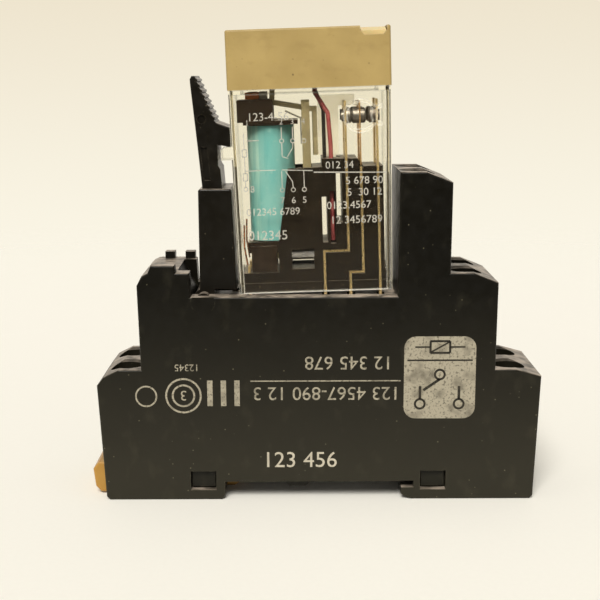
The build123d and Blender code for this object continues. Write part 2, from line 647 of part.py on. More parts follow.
def led():
    """Indicator lamp: round body with a collar, standing on the board."""
    collar_z, dome_z = BOARD_TOP_Z + 0.6, BOARD_TOP_Z + 1.6
    collar = rod_z(LENS_X, 0, LED_COLLAR_R, BOARD_TOP_Z + 0.05, collar_z)
    body = collar + rod_z(LENS_X, 0, LED_R, collar_z, dome_z)
    return body + Pos(LENS_X, 0, dome_z) * Sphere(LED_R, arc_size1=0)


def led_board():
    """Small circuit board on the neck, with a hole for each of the two wires."""
    board = block(-9.5, 5.0, -BOARD_HALF_Y, BOARD_HALF_Y, BOARD_BOTTOM_Z, BOARD_TOP_Z)
    for y, radius in ((-1.6, RED_WIRE_R), (-0.4, BLACK_WIRE_R)):
        board -= rod_z(1.0, y, radius + WIRE_HOLE_GAP, BOARD_BOTTOM_Z - PAST, BOARD_TOP_Z + PAST)
    return board


def led_resistor():
    """Axial resistor with its two bent leads on the board."""
    body = rod_x(LEAD_X0 + 1.0, LEAD_X1 - 1.0, RESISTOR_Y, RESISTOR_Z, RESISTOR_R)
    body += rod_x(LEAD_X0, LEAD_X1, RESISTOR_Y, RESISTOR_Z, LEAD_R)
    for x in (LEAD_X0, LEAD_X1):
        body += rod_z(x, RESISTOR_Y, LEAD_R, BOARD_TOP_Z + 0.05, RESISTOR_Z + 0.2)
    return body


def fixed_routes():
    """Edge-on routes of the terminals inside the relay, ending in their plug blades."""
    return {
        "nc": [(NC_X, 34.3), (NC_X, 7.35), (BLADE_X["nc"], 7.35), (BLADE_X["nc"], 0.3)],
        "common": [(MOVING_X, MOVING_ROOT_Z - 0.5), (MOVING_X, 3.3), (BLADE_X["common"], 3.3),
                   (BLADE_X["common"], 0.3)],
        "no": [(NO_X, 34.5), (NO_X, 0.3)],
        "coil": [(BLADE_X["coil"], 4.6), (BLADE_X["coil"], 0.3)],
    }


def plug_blade(name, row):
    """Blade below the relay, with its end tapered to enter the socket."""
    x = BLADE_X[name]
    half = BLADE_THICKNESS / 2
    root_z, taper_z = 0.6, BLADE_TAPER - BLADE_LENGTH
    outline = [(x - half, root_z), (x + half, root_z), (x + half, taper_z),
               (x + BLADE_TIP_HALF, -BLADE_LENGTH), (x - BLADE_TIP_HALF, -BLADE_LENGTH), (x - half, taper_z)]
    return prism(outline, *rear(BLADE_Y - BLADE_WIDTH / 2, BLADE_Y + BLADE_WIDTH / 2, row))


def fixed_terminal(name, row):
    """Terminal strip with its plug blade; the two contact ones have a hole for their rivet."""
    outer_y = COIL_STRIP_OUTER_Y if name == "coil" else ROW_OUTER_Y
    body = strip(fixed_routes()[name], FIXED_THICKNESS, *rear(ROW_INNER_Y, outer_y, row))
    body += plug_blade(name, row)
    if name in ("nc", "no"):
        x = fixed_routes()[name][0][0]
        body -= rod_x(x - PAST, x + PAST, row_centres()[row - 1], CONTACT_Z, STEM_HOLE_R)
    return body


def rivet(stem_x0, stem_x1, head_x, y):
    """Contact rivet: stem between stem_x0 and stem_x1, domed head from there to head_x."""
    near = stem_x1 if head_x > stem_x1 else stem_x0
    low, high = min(near, head_x), max(near, head_x)
    head = rod_x(low, high, y, CONTACT_Z, CONTACT_R)
    face_index = -1 if head_x > near else 0
    head = chamfer(head.edges().group_by(Axis.X)[face_index], 0.25)
    return head + rod_x(stem_x0, stem_x1, y, CONTACT_Z, STEM_R)


def row_centres():
    """Y of the front row's middle and of the rear row's middle."""
    middle = (ROW_INNER_Y + ROW_OUTER_Y) / 2
    return (-middle, middle)


def fixed_contact_rivets():
    """Silver rivets of the normally closed and normally open contacts, in both rows."""
    half = FIXED_THICKNESS / 2
    tips = []
    for y in row_centres():
        closed = rivet(NC_X - half, NC_X + half, NC_FACE_X, y)
        closed += rod_x(NC_X - half - 0.45, NC_X - half, y, CONTACT_Z, TAIL_R)
        opened = rivet(NO_X - half, NO_X + half, NO_FACE_X, y)
        tips += [closed, opened + rod_x(NO_X + half, NO_X + half + 0.35, y, CONTACT_Z, TAIL_R)]
    return Compound(children=[tip.solid() for tip in tips])


def moving_contact_rivets():
    """Double-headed rivets at the tips of the moving springs."""
    half = MOVING_THICKNESS / 2
    tips = []
    for y in row_centres():
        left = rivet(MOVING_X - half, MOVING_X + half, MOVING_LEFT_FACE_X, y)
        tips.append(left + rivet(MOVING_X - half, MOVING_X + half, MOVING_RIGHT_FACE_X, y))
    return Compound(children=[tip.solid() for tip in tips])


def moving_contact(row):
    """Flat contact spring, slotted above its root, with a hole for its rivet."""
    y0, y1 = rear(ROW_INNER_Y, ROW_OUTER_Y, row)
    half = MOVING_THICKNESS / 2
    inset = 0.15
    body = block(MOVING_X - half, MOVING_X + half, y0 + inset, y1 - inset, MOVING_ROOT_Z, MOVING_TOP_Z)
    y = row_centres()[row - 1]
    body -= block(MOVING_X - PAST, MOVING_X + PAST, y - WAIST_HALF, y + WAIST_HALF, 26.5, 28.5)
    return body - rod_x(MOVING_X - PAST, MOVING_X + PAST, y, CONTACT_Z, STEM_HOLE_R)


def snap_nib(row):
    """Sloping snap nib that fills the upper half of a window in the base's wall."""
    x0, x1 = NIB_WINDOW[:2]
    z1 = NIB_WINDOW[3]
    root_y, tip_y = SNAP_WALL_Y - 0.1, SNAP_WALL_Y + NIB_PROUD
    slope = [(root_y, z1 - 0.1), (tip_y, z1 - 1.5), (tip_y, z1 - 1.9), (root_y, z1 - 2.0)]
    side = -1 if row == 1 else 1
    face = Plane.YZ * Polygon(*[(y * side, z) for y, z in slope], align=None)
    return Pos((x0 + x1) / 2, 0, 0) * extrude(face, amount=(x1 - x0) / 2 + 0.1, both=True)


def base_row_cuts(row):
    """Strip grooves, blade slots, spring root and snap window of one side of the relay's base."""
    inner_y = ROW_INNER_Y - 0.1
    open_y = rear(inner_y, BASE_HALF_Y + PAST, row)
    closed_y = rear(inner_y, COIL_STRIP_OUTER_Y + 0.1, row)
    blade_y = rear(BLADE_Y - 1.35, BLADE_Y + 1.35, row)
    cuts = []
    for name, route in fixed_routes().items():
        across = closed_y if name == "coil" else open_y
        cuts.append(strip(route, FIXED_THICKNESS + 0.2, *across))
        x = BLADE_X[name]
        cuts.append(block(x - 0.35, x + 0.35, *blade_y, -PAST, 0.8))
    cuts.append(block(MOVING_X - 0.4, MOVING_X + 0.4, *open_y, MOVING_ROOT_Z - 0.6, 25))
    x0, x1, z0, z1 = NIB_WINDOW
    cuts.append(block(x0, x1, *rear(SNAP_WALL_Y - 0.15, BASE_HALF_Y + PAST, row), z0, z1))
    return cuts


def base_middle_cuts():
    """Coil bay, pockets through the contact block and the channels of the two wires."""
    bay = block(-13.0, YOKE_BACK_X1 + 0.15, -SNAP_WALL_Y, SNAP_WALL_Y, PLATE_TOP_Z, 25)
    through = BASE_HALF_Y + PAST
    pockets = [block(1.6, 2.6, -through, through, 9.0, 17.4), block(4.3, 5.4, -through, through, 12.6, 21.6)]
    front_slot = block(3.05, 4.05, -through, -3.0, 8.7, 18.4)
    red_channel = rod_z(RED_WIRE_X, RED_WIRE_Y, RED_WIRE_R + WIRE_HOLE_GAP, 18, 25)
    black_channel = rod_z(BLACK_WIRE_X, BLACK_WIRE_Y, BLACK_WIRE_R + WIRE_HOLE_GAP, 17.6, 25)
    card_slot = block(2.1, 5.4, -0.75, 0.75, 22.9, 25)
    return [bay, *pockets, front_slot, red_channel, black_channel, card_slot]


def relay_base():
    """Moulded base: flanged plate, contact block with open strip grooves, a wall beside the coil."""
    outline = [(-PLATE_HALF_X, 0), (PLATE_HALF_X, 0), (PLATE_HALF_X, PLATE_TOP_Z), (12.9, PLATE_TOP_Z),
               (12.9, 22.7), (9.4, 22.7), (8.3, 24.15), (1.8, 24.3), (1.8, 22.8), (-4.4, 22.7), (-6.6, 8.6),
               (-6.6, PLATE_TOP_Z), (-PLATE_HALF_X, PLATE_TOP_Z)]
    body = prism(outline, -BASE_HALF_Y, BASE_HALF_Y)
    body += block(-PLATE_HALF_X, PLATE_HALF_X, -FLANGE_HALF_Y, FLANGE_HALF_Y, 0, FLANGE_TOP_Z)
    cuts = base_middle_cuts() + base_row_cuts(1) + base_row_cuts(2)
    return body.cut(*cuts).fuse(snap_nib(1), snap_nib(2))


def pusher_card():
    """Card that carries the armature's push to both moving springs."""
    plate = [(CARD_X0, 24.9), (CARD_X0, 35.6), (8.2, 35.6), (8.2, 33.6),
             (5.2, 33.6), (5.0, 24.6), (4.6, 24.6), (4.6, 23.2), (2.4, 23.2), (2.4, 24.6)]
    body = prism(plate, -0.6, 0.6)
    return body + block(8.0, 8.7, -4.2, 4.2, 33.6, 34.4)


def coil_bobbin():
    """Bobbin: tube, two flanges, a pole housing above and a terminal block below."""
    body = rod_z(COIL_X, 0, TUBE_R, COIL_BOTTOM_Z - 1, COIL_TOP_Z + 0.5)
    body += block(-12.2, -2.3, -5.0, 5.0, COIL_TOP_Z + 0.1, 31.4)
    body += block(-12.2, -2.6, -4.4, 4.4, 7.3, COIL_BOTTOM_Z - 0.1)
    body += block(-13.2, -6.7, -4.9, 4.9, 31.2, 35.2)
    for row in (1, 2):
        body += block(-11.6, -6.95, *rear(3.7, 5.2, row), PLATE_TOP_Z + 0.15, 8.6)
    body -= rod_z(COIL_X, 0, CORE_R + 0.05, 0, POLE_TOP_Z)
    pole_y = POLE_HALF_Y + 0.1
    body -= block(POLE_X0 - 0.1, -7.0, -pole_y, pole_y, POLE_BOTTOM_Z - 0.1, POLE_TOP_Z)
    arm_y = ARMATURE_HALF_Y + 0.4
    return body - block(-7.1, -6.6, -arm_y, arm_y, 32.6, POLE_TOP_Z)


def sleeve(outer, inner, z0, z1):
    """Sleeve round the coil's axis."""
    return rod_z(COIL_X, 0, outer, z0, z1) - rod_z(COIL_X, 0, inner, z0 - PAST, z1 + PAST)


def coil_winding():
    """Wire winding on the bobbin's tube, as one sleeve."""
    return sleeve(WINDING_R, TUBE_R + 0.05, COIL_BOTTOM_Z, COIL_TOP_Z)


def coil_tape():
    """Tape wrapped round the winding."""
    return sleeve(TAPE_R, WINDING_R + 0.03, COIL_BOTTOM_Z + 0.1, COIL_TOP_Z - 0.1)


def coil_core():
    """Iron core, riveted through the yoke, with a rectangular split pole on top."""
    foot_z, foot_top_z = YOKE_FOOT_Z
    body = rod_z(COIL_X, 0, CORE_R, foot_top_z + 0.1, POLE_BOTTOM_Z + 0.1)
    body += rod_z(COIL_X, 0, CORE_TENON_R, foot_z - 0.1, foot_top_z + 0.2)
    body += block(POLE_X0, POLE_X1, -POLE_HALF_Y, POLE_HALF_Y, POLE_BOTTOM_Z, POLE_TOP_Z)
    through = POLE_HALF_Y + PAST
    split_x1 = POLE_SLOT_X + POLE_SLOT_WIDTH
    return body - block(POLE_SLOT_X, split_x1, -through, through, RING_Z[0] - 0.05, POLE_TOP_Z + PAST)


def shading_ring():
    """Copper ring round the outer half of the split pole."""
    outer_x0, outer_x1 = POLE_X0 - 0.5, POLE_SLOT_X + POLE_SLOT_WIDTH - 0.05
    outer_y, inner_y = POLE_HALF_Y + 0.5, POLE_HALF_Y + 0.05
    body = block(outer_x0, outer_x1, -outer_y, outer_y, *RING_Z)
    low_z, high_z = RING_Z[0] - PAST, RING_Z[1] + PAST
    return body - block(POLE_X0 - 0.05, POLE_SLOT_X + 0.05, -inner_y, inner_y, low_z, high_z)


def yoke():
    """L-shaped iron yoke: foot under the coil, back beside it, forked at the top."""
    foot_z, foot_top_z = YOKE_FOOT_Z
    body = block(-11.2, YOKE_BACK_X1, -3.4, 3.4, foot_z, foot_top_z)
    body += block(YOKE_BACK_X0, YOKE_BACK_X1, -YOKE_HALF_Y, YOKE_HALF_Y, foot_z, YOKE_TOP_Z)
    body -= rod_z(COIL_X, 0, CORE_TENON_R + 0.05, foot_z - PAST, foot_top_z + PAST)
    half = ARMATURE_HALF_Y + 0.25
    fork = block(YOKE_BACK_X0 - PAST, YOKE_BACK_X1 + PAST, -half, half, FORK_BOTTOM_Z, YOKE_TOP_Z + PAST)
    return body - fork


def armature():
    """Cranked armature, drawn closed on the pole and then opened to its rest angle."""
    arm_points = [(ARMATURE_LEG_X, 33.2), (-6.95, 34.3), (-6.95, 37.15), (-10.9, 37.15)]
    arm = strip(arm_points, ARMATURE_THICKNESS, -ARMATURE_HALF_Y, ARMATURE_HALF_Y)
    arm = turned(arm, ARMATURE_PIVOT, -ARMATURE_SWING_DEG)
    leg_points = [(ARMATURE_LEG_X, 25.3), (ARMATURE_LEG_X, 33.2)]
    return arm + strip(leg_points, ARMATURE_THICKNESS, -ARMATURE_HALF_Y, ARMATURE_HALF_Y)


def armature_spring():
    """Leaf spring on the yoke that holds the armature open."""
    x = YOKE_BACK_X0 - 0.16
    return strip([(x, 27.0), (x, 31.6), (x - 2.7, 32.9)], 0.24, -1.6, 1.6)


def coil_lead_wires():
    """The two winding ends, from the bobbin down to the coil terminals."""
    leads = []
    for row in (1, 2):
        side = -1 if row == 1 else 1
        points = [(-12.75, 4.75 * side, 12.6), (-12.9, 4.7 * side, 8.6), (-12.45, 4.3 * side, 5.2)]
        leads.append(round_wire(points, 0.16, 2.0))
    return Compound(children=[lead.solid() for lead in leads])


def lead_wire_red():
    """Front wire, from the board down in front of the contact block."""
    points = [(1.0, -1.6, 42.7), (1.0, -1.7, 38.4), (0.9, -3.0, 36.2), (3.2, RED_WIRE_Y, 32.4),
              (RED_WIRE_X, RED_WIRE_Y, 26.6), (3.5, RED_WIRE_Y, 9.2)]
    return round_wire(points, RED_WIRE_R, 1.0)


def lead_wire_black():
    """Rear wire, from the board down into the contact block."""
    points = [(1.0, -0.4, 42.7), (1.0, -0.5, 38.6), (1.1, -1.9, 36.4), (BLACK_WIRE_X, -2.35, 33.0),
              (BLACK_WIRE_X, BLACK_WIRE_Y, 18.0)]
    return round_wire(points, BLACK_WIRE_R, 1.0)


def socket_nodes():
    """The socket's pieces by name."""
    nodes = {
        "socket_housing": socket_housing(),
        "socket_base": socket_base(),
        "din_clip": din_clip(),
        "retention_lever": retention_lever(),
        "terminal_screws": terminal_screws(),
        "clamp_washers": clamp_washers(),
    }
    for name in TERMINALS:
        for row in (1, 2):
            nodes[f"socket_contact_{name}_{row}"] = socket_contact(name, row)
    return nodes


def relay_nodes():
    """The relay's pieces by name, each moved to the relay's place in the socket."""
    makers = [relay_case, relay_cap, test_button, indicator_lens, led, led_board, led_resistor,
              relay_base, coil_bobbin, coil_winding, coil_tape, coil_core, shading_ring, yoke,
              armature, armature_spring, pusher_card, fixed_contact_rivets,
              moving_contact_rivets, coil_lead_wires, lead_wire_red, lead_wire_black]
    nodes = {maker.__name__: maker() for maker in makers}
    for row in (1, 2):
        nodes[f"moving_contact_{row}"] = moving_contact(row)
        for name in BLADE_X:
            nodes[f"{name}_terminal_{row}"] = fixed_terminal(name, row)
    return {name: PLACE * shape for name, shape in nodes.items()}


def main():
    """Writes one STEP file for each piece."""
    os.makedirs("parts", exist_ok=True)
    for name, shape in {**socket_nodes(), **relay_nodes()}.items():
        export_step(shape, f"parts/{name}.step")


main()
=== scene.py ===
"""Looks of a plug-in control relay in its rail socket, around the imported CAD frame."""
import json
import math

import bmesh
import bpy
from mathutils import Matrix, Vector


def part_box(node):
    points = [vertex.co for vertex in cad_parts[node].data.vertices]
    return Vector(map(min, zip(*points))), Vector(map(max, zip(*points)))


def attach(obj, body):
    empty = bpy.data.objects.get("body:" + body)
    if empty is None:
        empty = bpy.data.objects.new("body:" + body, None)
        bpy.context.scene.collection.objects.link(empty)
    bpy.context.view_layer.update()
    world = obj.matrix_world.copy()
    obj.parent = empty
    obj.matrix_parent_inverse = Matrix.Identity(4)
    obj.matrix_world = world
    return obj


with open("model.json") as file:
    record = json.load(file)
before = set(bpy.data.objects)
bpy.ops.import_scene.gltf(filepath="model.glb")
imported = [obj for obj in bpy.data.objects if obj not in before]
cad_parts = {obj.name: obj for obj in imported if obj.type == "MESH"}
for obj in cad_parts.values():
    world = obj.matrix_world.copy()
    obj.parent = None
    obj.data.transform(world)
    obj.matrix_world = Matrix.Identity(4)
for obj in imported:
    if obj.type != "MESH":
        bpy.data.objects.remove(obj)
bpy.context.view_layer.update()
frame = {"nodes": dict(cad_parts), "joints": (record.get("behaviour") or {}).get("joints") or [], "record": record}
NODES = frame["nodes"]
MM = 0.001


# ---- places worked out from the frame ----------------------------------------------------
def joint(name):
    """The frame's entry of a joint."""
    return next(j for j in frame["joints"] if j["name"] == name)


def reach(node, direction):
    """Lowest and highest place of a node along a direction."""
    places = [vertex.co.dot(direction) for vertex in NODES[node].data.vertices]
    return min(places), max(places)


RELAY_UP = Vector(joint("relay_lift")["axis"]).normalized()
RELAY_RIGHT = Vector((RELAY_UP.z, 0, -RELAY_UP.x))
RELAY_MIDDLE = sum(reach("relay_cap", RELAY_RIGHT)) / 2
RELAY_FOOT = RELAY_RIGHT * RELAY_MIDDLE + RELAY_UP * reach("relay_case", RELAY_UP)[0]
RELAY_ROCK = math.atan2(RELAY_UP.x, RELAY_UP.z)
RELAY_PLACE = Matrix.Translation(RELAY_FOOT) @ Matrix.Rotation(RELAY_ROCK, 4, "Y")
CASE_FRONT_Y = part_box("relay_case")[0].y
BOSS_PROUD = 0.06 * MM
SOCKET_FRONT_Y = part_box("socket_housing")[0].y + BOSS_PROUD
PRINT_LIFT = 0.012 * MM
PRINT_THICKNESS = 0.008 * MM


# ---- camera --------------------------------------------------------------------------------
CAMERA_PLACE = Vector((-2.5, -209.85, 77.8)) * MM
CAMERA_PITCH_DEG = -11.18
CAMERA_ROLL_DEG = -0.2
CAMERA_LENS_MM = 67.3
SENSOR_MM = 36.0


def make_camera():
    """Camera at the place and angle that the object is seen from."""
    data = bpy.data.cameras.new("photo_camera")
    data.lens = CAMERA_LENS_MM
    data.sensor_width = SENSOR_MM
    data.clip_start = 0.01
    camera = bpy.data.objects.new("photo_camera", data)
    bpy.context.scene.collection.objects.link(camera)
    pitch = Matrix.Rotation(math.radians(90 + CAMERA_PITCH_DEG), 4, "X")
    roll = Matrix.Rotation(math.radians(CAMERA_ROLL_DEG), 4, "Z")
    camera.matrix_world = Matrix.Translation(CAMERA_PLACE) @ pitch @ roll
    bpy.context.scene.camera = camera


# ---- studio: pale floor, warm backdrop and one soft lamp in front and above ----------------
FLOOR_RADIUS = 0.42
FLOOR_SIDES = 96
FLOOR_FADE_START = 0.16
FLOOR_FADE_END = FLOOR_RADIUS * 0.97
FLOOR_COLOUR = (0.945, 0.935, 0.885)
GLOSS_FLOOR_NEAR = -0.07
GLOSS_FLOOR_FAR = -0.17
KEY_FROM = (-0.16, -0.80, 0.86)
KEY_SOFTNESS_DEG = 26
KEY_STRENGTH = 2.95
KEY_COLOUR = (1.0, 0.965, 0.90)
BACKDROP_LOW = (0.968, 0.925, 0.795)
BACKDROP_HIGH = (0.82, 0.73, 0.56)
GLOSS_FRONT = (0.055, 0.048, 0.036)
GLOSS_REAR = (1.05, 0.98, 0.86)
ROOM_FRONT = (0.42, 0.40, 0.36)
ROOM_REAR = (0.30, 0.28, 0.24)
# where each sky changes, along the direction of view: up for the backdrop, back for the others
BACKDROP_SPAN = (-0.2, 0.2)
GLOSS_SPAN = (-0.6, 0.5)
ROOM_SPAN = (-0.6, 0.6)
THROUGH_SPAN = (-0.1, 0.1)


def make_lamp():
    """Broad soft lamp from the front and above."""
    data = bpy.data.lights.new("key", "SUN")
    data.angle = math.radians(KEY_SOFTNESS_DEG)
    data.energy = KEY_STRENGTH
    data.color = KEY_COLOUR
    lamp = bpy.data.objects.new("key", data)
    bpy.context.scene.collection.objects.link(lamp)
    lamp.location = KEY_FROM
    lamp.rotation_euler = Vector(KEY_FROM).to_track_quat("Z", "Y").to_euler()


def make_floor(material):
    """Round floor that takes the shadows and isn't part of the object."""
    mesh = bpy.data.meshes.new("floor")
    angles = [math.tau * step / FLOOR_SIDES for step in range(FLOOR_SIDES)]
    rim = [(FLOOR_RADIUS * math.cos(angle), FLOOR_RADIUS * math.sin(angle), 0) for angle in angles]
    mesh.from_pydata(rim, [], [list(range(FLOOR_SIDES))])
    mesh.materials.append(material)
    floor = bpy.data.objects.new("floor", mesh)
    bpy.context.scene.collection.objects.link(floor)


def sky_ramp(tree, value, span, first, last):
    """Background whose colour runs from first to last as value runs through span."""
    part = tree.nodes.new("ShaderNodeMapRange")
    part.interpolation_type = "SMOOTHSTEP"
    part.inputs["From Min"].default_value = span[0]
    part.inputs["From Max"].default_value = span[1]
    tree.links.new(value, part.inputs["Value"])
    mix = tree.nodes.new("ShaderNodeMix")
    mix.data_type = "RGBA"
    ends = [socket for socket in mix.inputs if socket.type == "RGBA"]
    ends[0].default_value = (*first, 1)
    ends[1].default_value = (*last, 1)
    tree.links.new(part.outputs["Result"], mix.inputs["Factor"])
    sky = tree.nodes.new("ShaderNodeBackground")
    tree.links.new(next(socket for socket in mix.outputs if socket.type == "RGBA"), sky.inputs["Color"])
    return sky.outputs[0]


def make_sky():
    """Warm backdrop for the eye, a soft room for the light, and a room dark in front for gloss."""
    world = bpy.data.worlds.new("studio")
    bpy.context.scene.world = world
    world.use_nodes = True
    tree = world.node_tree
    tree.nodes.clear()
    parts = tree.nodes.new("ShaderNodeSeparateXYZ")
    tree.links.new(tree.nodes.new("ShaderNodeTexCoord").outputs["Generated"], parts.inputs[0])
    backdrop = sky_ramp(tree, parts.outputs["Z"], BACKDROP_SPAN, BACKDROP_LOW, BACKDROP_HIGH)
    gloss = sky_ramp(tree, parts.outputs["Y"], GLOSS_SPAN, GLOSS_FRONT, GLOSS_REAR)
    room = sky_ramp(tree, parts.outputs["Y"], ROOM_SPAN, ROOM_FRONT, ROOM_REAR)
    path = tree.nodes.new("ShaderNodeLightPath")
    through = sky_ramp(tree, parts.outputs["Y"], THROUGH_SPAN, GLOSS_FRONT, BACKDROP_LOW)
    skies = (("Is Glossy Ray", gloss), ("Is Transmission Ray", through), ("Is Camera Ray", backdrop))
    for ray, sky in skies:
        pick = tree.nodes.new("ShaderNodeMixShader")
        tree.links.new(path.outputs[ray], pick.inputs[0])
        tree.links.new(room, pick.inputs[1])
        tree.links.new(sky, pick.inputs[2])
        room = pick.outputs[0]
    tree.links.new(room, tree.nodes.new("ShaderNodeOutputWorld").inputs["Surface"])


# ---- material tools ------------------------------------------------------------------------
# most of a cloudy pattern lies between these two values
CLOUD = (0.3, 0.7)
class Skin:
    """One material: a Principled surface whose pattern is built up from small named steps."""

    def __init__(self, name, **values):
        self.material = bpy.data.materials.new(name)
        self.material.use_nodes = True
        self.tree = self.material.node_tree
        self.tree.nodes.clear()
        self.output = self.add("ShaderNodeOutputMaterial")
        self.surface = self.add("ShaderNodeBsdfPrincipled")
        self.link(self.surface.outputs["BSDF"], self.output.inputs["Surface"])
        self.place = self.add("ShaderNodeTexCoord").outputs["Object"]
        for key, value in values.items():
            self.surface.inputs[key.replace("_", " ")].default_value = value

    def add(self, kind):
        """New node of a kind."""
        return self.tree.nodes.new(kind)

    def link(self, source, target):
        """Wire between two sockets."""
        self.tree.links.new(source, target)

    def feed(self, socket, value):
        """Links a value made by nodes, or sets a plain one."""
        if isinstance(value, bpy.types.NodeSocket):
            self.link(value, socket)
        else:
            socket.default_value = (*value, 1) if isinstance(value, tuple) and len(value) == 3 else value

    def noise(self, size, detail=3.0, stretch=(1, 1, 1), seed=0.0):
        """Cloudy pattern with lumps of about size metres, from 0 to 1."""
        mapping = self.add("ShaderNodeMapping")
        self.link(self.place, mapping.inputs["Vector"])
        mapping.inputs["Location"].default_value = (seed, seed * 0.7, -seed)
        mapping.inputs["Scale"].default_value = stretch
        node = self.add("ShaderNodeTexNoise")
        self.link(mapping.outputs[0], node.inputs["Vector"])
        node.inputs["Scale"].default_value = 1 / size
        node.inputs["Detail"].default_value = detail
        return node.outputs["Fac"]

    def specks(self, size, share):
        """Small scattered dots: 1 in a dot and 0 elsewhere."""
        cells = self.add("ShaderNodeTexVoronoi")
        self.link(self.place, cells.inputs["Vector"])
        cells.inputs["Scale"].default_value = 1 / size
        dot = self.ramp(cells.outputs["Distance"], 0.28, 0.12)
        chance = self.add("ShaderNodeSeparateColor")
        self.link(cells.outputs["Color"], chance.inputs[0])
        return self.times(dot, self.ramp(chance.outputs[0], 1 - share, 1 - share + 0.01))

    def ramp(self, value, low, high, first=0.0, last=1.0):
        """Runs from first to last as value runs from low to high, and stays at the ends."""
        node = self.add("ShaderNodeMapRange")
        self.link(value, node.inputs["Value"])
        for name, number in (("From Min", low), ("From Max", high), ("To Min", first), ("To Max", last)):
            node.inputs[name].default_value = number
        return node.outputs["Result"]

    def math(self, operation, first, second):
        """Sum on two values, each a socket or a plain number."""
        node = self.add("ShaderNodeMath")
        node.operation = operation
        self.feed(node.inputs[0], first)
        self.feed(node.inputs[1], second)
        return node.outputs[0]

    def times(self, first, second):
        return self.math("MULTIPLY", first, second)

    def plus(self, first, second):
        return self.math("ADD", first, second)

    def mix(self, factor, first, second):
        """Colour between first and second."""
        node = self.add("ShaderNodeMix")
        node.data_type = "RGBA"
        colours = [socket for socket in node.inputs if socket.type == "RGBA"]
        self.feed(node.inputs["Factor"], factor)
        self.feed(colours[0], first)
        self.feed(colours[1], second)
        return next(socket for socket in node.outputs if socket.type == "RGBA")

    def edges(self, radius, softness=0.12):
        """1 along edges that stand out or fold in, 0 on flat stretches."""
        rounded = self.add("ShaderNodeBevel")
        rounded.samples = 4
        rounded.inputs["Radius"].default_value = radius
        compare = self.add("ShaderNodeVectorMath")
        compare.operation = "DOT_PRODUCT"
        self.link(rounded.outputs[0], compare.inputs[0])
        self.link(self.add("ShaderNodeNewGeometry").outputs["Normal"], compare.inputs[1])
        return self.ramp(compare.outputs["Value"], 1.0, 1.0 - softness)

    def bump(self, height, depth, strength=0.5):
        """Relief of depth metres, on top of any relief already there."""
        node = self.add("ShaderNodeBump")
        node.inputs["Strength"].default_value = strength
        node.inputs["Distance"].default_value = depth
        self.link(height, node.inputs["Height"])
        normal = self.surface.inputs["Normal"]
        if normal.is_linked:
            self.link(normal.links[0].from_socket, node.inputs["Normal"])
        self.link(node.outputs[0], normal)

    def colour(self, value):
        self.feed(self.surface.inputs["Base Color"], value)

    def upward(self, low=0.6, high=0.95):
        """1 on faces that look up, 0 on walls and undersides."""
        parts = self.add("ShaderNodeSeparateXYZ")
        self.link(self.add("ShaderNodeNewGeometry").outputs["Normal"], parts.inputs[0])
        return self.ramp(parts.outputs["Z"], low, high)

    def height(self):
        """Height above the object's own origin."""
        parts = self.add("ShaderNodeSeparateXYZ")
        self.link(self.place, parts.inputs[0])
        return parts.outputs["Z"]

    def rough(self, value):
        self.feed(self.surface.inputs["Roughness"], value)


def scaled(colour, factor):
    """Colour made lighter or darker."""
    return tuple(part * factor for part in colour)


# ---- materials -----------------------------------------------------------------------------
# pale colour laid on upward faces: partly settled dust, partly painted sheen that lightens the top faces
SETTLED_DUST_AND_SHEEN = (0.50, 0.42, 0.34)
# heights between which a side is lightened towards the bottom: painted reflection of the bright floor
FLOOR_SHEEN_TOP_Z = 40 * MM
FLOOR_SHEEN_LOW_Z = 6 * MM
CASE_YELLOWING = 60
# how far the clear cover's edges turn opaque cream: painted highlight for the backdrop refracted along the walls
CASE_RIM_HIGHLIGHT = 0.5
# place across the relay right of which the coil tape is darker: painted shade
TAPE_SHADE_X = -8.0 * MM
BRUSHED = (1, 1, 0.12)


def moulded_plastic(name, colour, dust, roughness, wear=0.35, dots=0.02, settled_and_sheen=0.0, film=0.0, **values):
    """Moulding with an eroded grain, cloudy colour, dust dots, lighter worn edges, a painted floor reflection that
    lightens the lower part, and a pale layer on upward faces that is partly dust and partly painted sheen.
    """
    skin = Skin(name, **values)
    cloud = skin.noise(9 * MM, 4)
    base = skin.mix(skin.ramp(cloud, *CLOUD), scaled(colour, 0.82), scaled(colour, 1.2))
    smear = skin.ramp(skin.noise(3.5 * MM, 5, (1, 1, 0.7), 3.0), 0.58, 0.85, 0.0, 0.12)
    base = skin.mix(smear, base, dust)
    base = skin.mix(skin.specks(0.55 * MM, dots), base, dust)
    patches = skin.ramp(skin.noise(1.2 * MM, 4, seed=1.0), 0.4, 0.65, 0.0, wear)
    base = skin.mix(skin.times(skin.edges(0.25 * MM), patches), base, dust)
    # film lightens the lower part towards the dust colour: painted reflection of the bright floor, not grime.
    if film:
        base = skin.mix(skin.ramp(skin.height(), FLOOR_SHEEN_TOP_Z, FLOOR_SHEEN_LOW_Z, 0.0, film), base, dust)
    # Upward faces take a pale dust colour here: partly settled dust, partly painted sheen that lightens the tops.
    cover = skin.ramp(skin.noise(2.6 * MM, 6, seed=4.0), 0.36, 0.62, settled_and_sheen * 0.15, settled_and_sheen)
    skin.colour(skin.mix(skin.times(skin.upward(), cover), base, SETTLED_DUST_AND_SHEEN))
    skin.rough(skin.ramp(skin.noise(1.6 * MM, 4, seed=5.0), *CLOUD, roughness - 0.06, roughness + 0.08))
    skin.bump(skin.noise(0.22 * MM, 2), 0.012 * MM, 0.35)
    skin.bump(skin.noise(6 * MM, 1, seed=2.0), 0.05 * MM, 0.15)
    return skin.material


def socket_plastic():
    # film=0.14 is the strength of the painted floor reflection low on the side.
    return moulded_plastic("socket_plastic", (0.0045, 0.0038, 0.0019), (0.13, 0.117, 0.075), 0.40,
                           settled_and_sheen=0.75, film=0.14, Specular_IOR_Level=0.22)


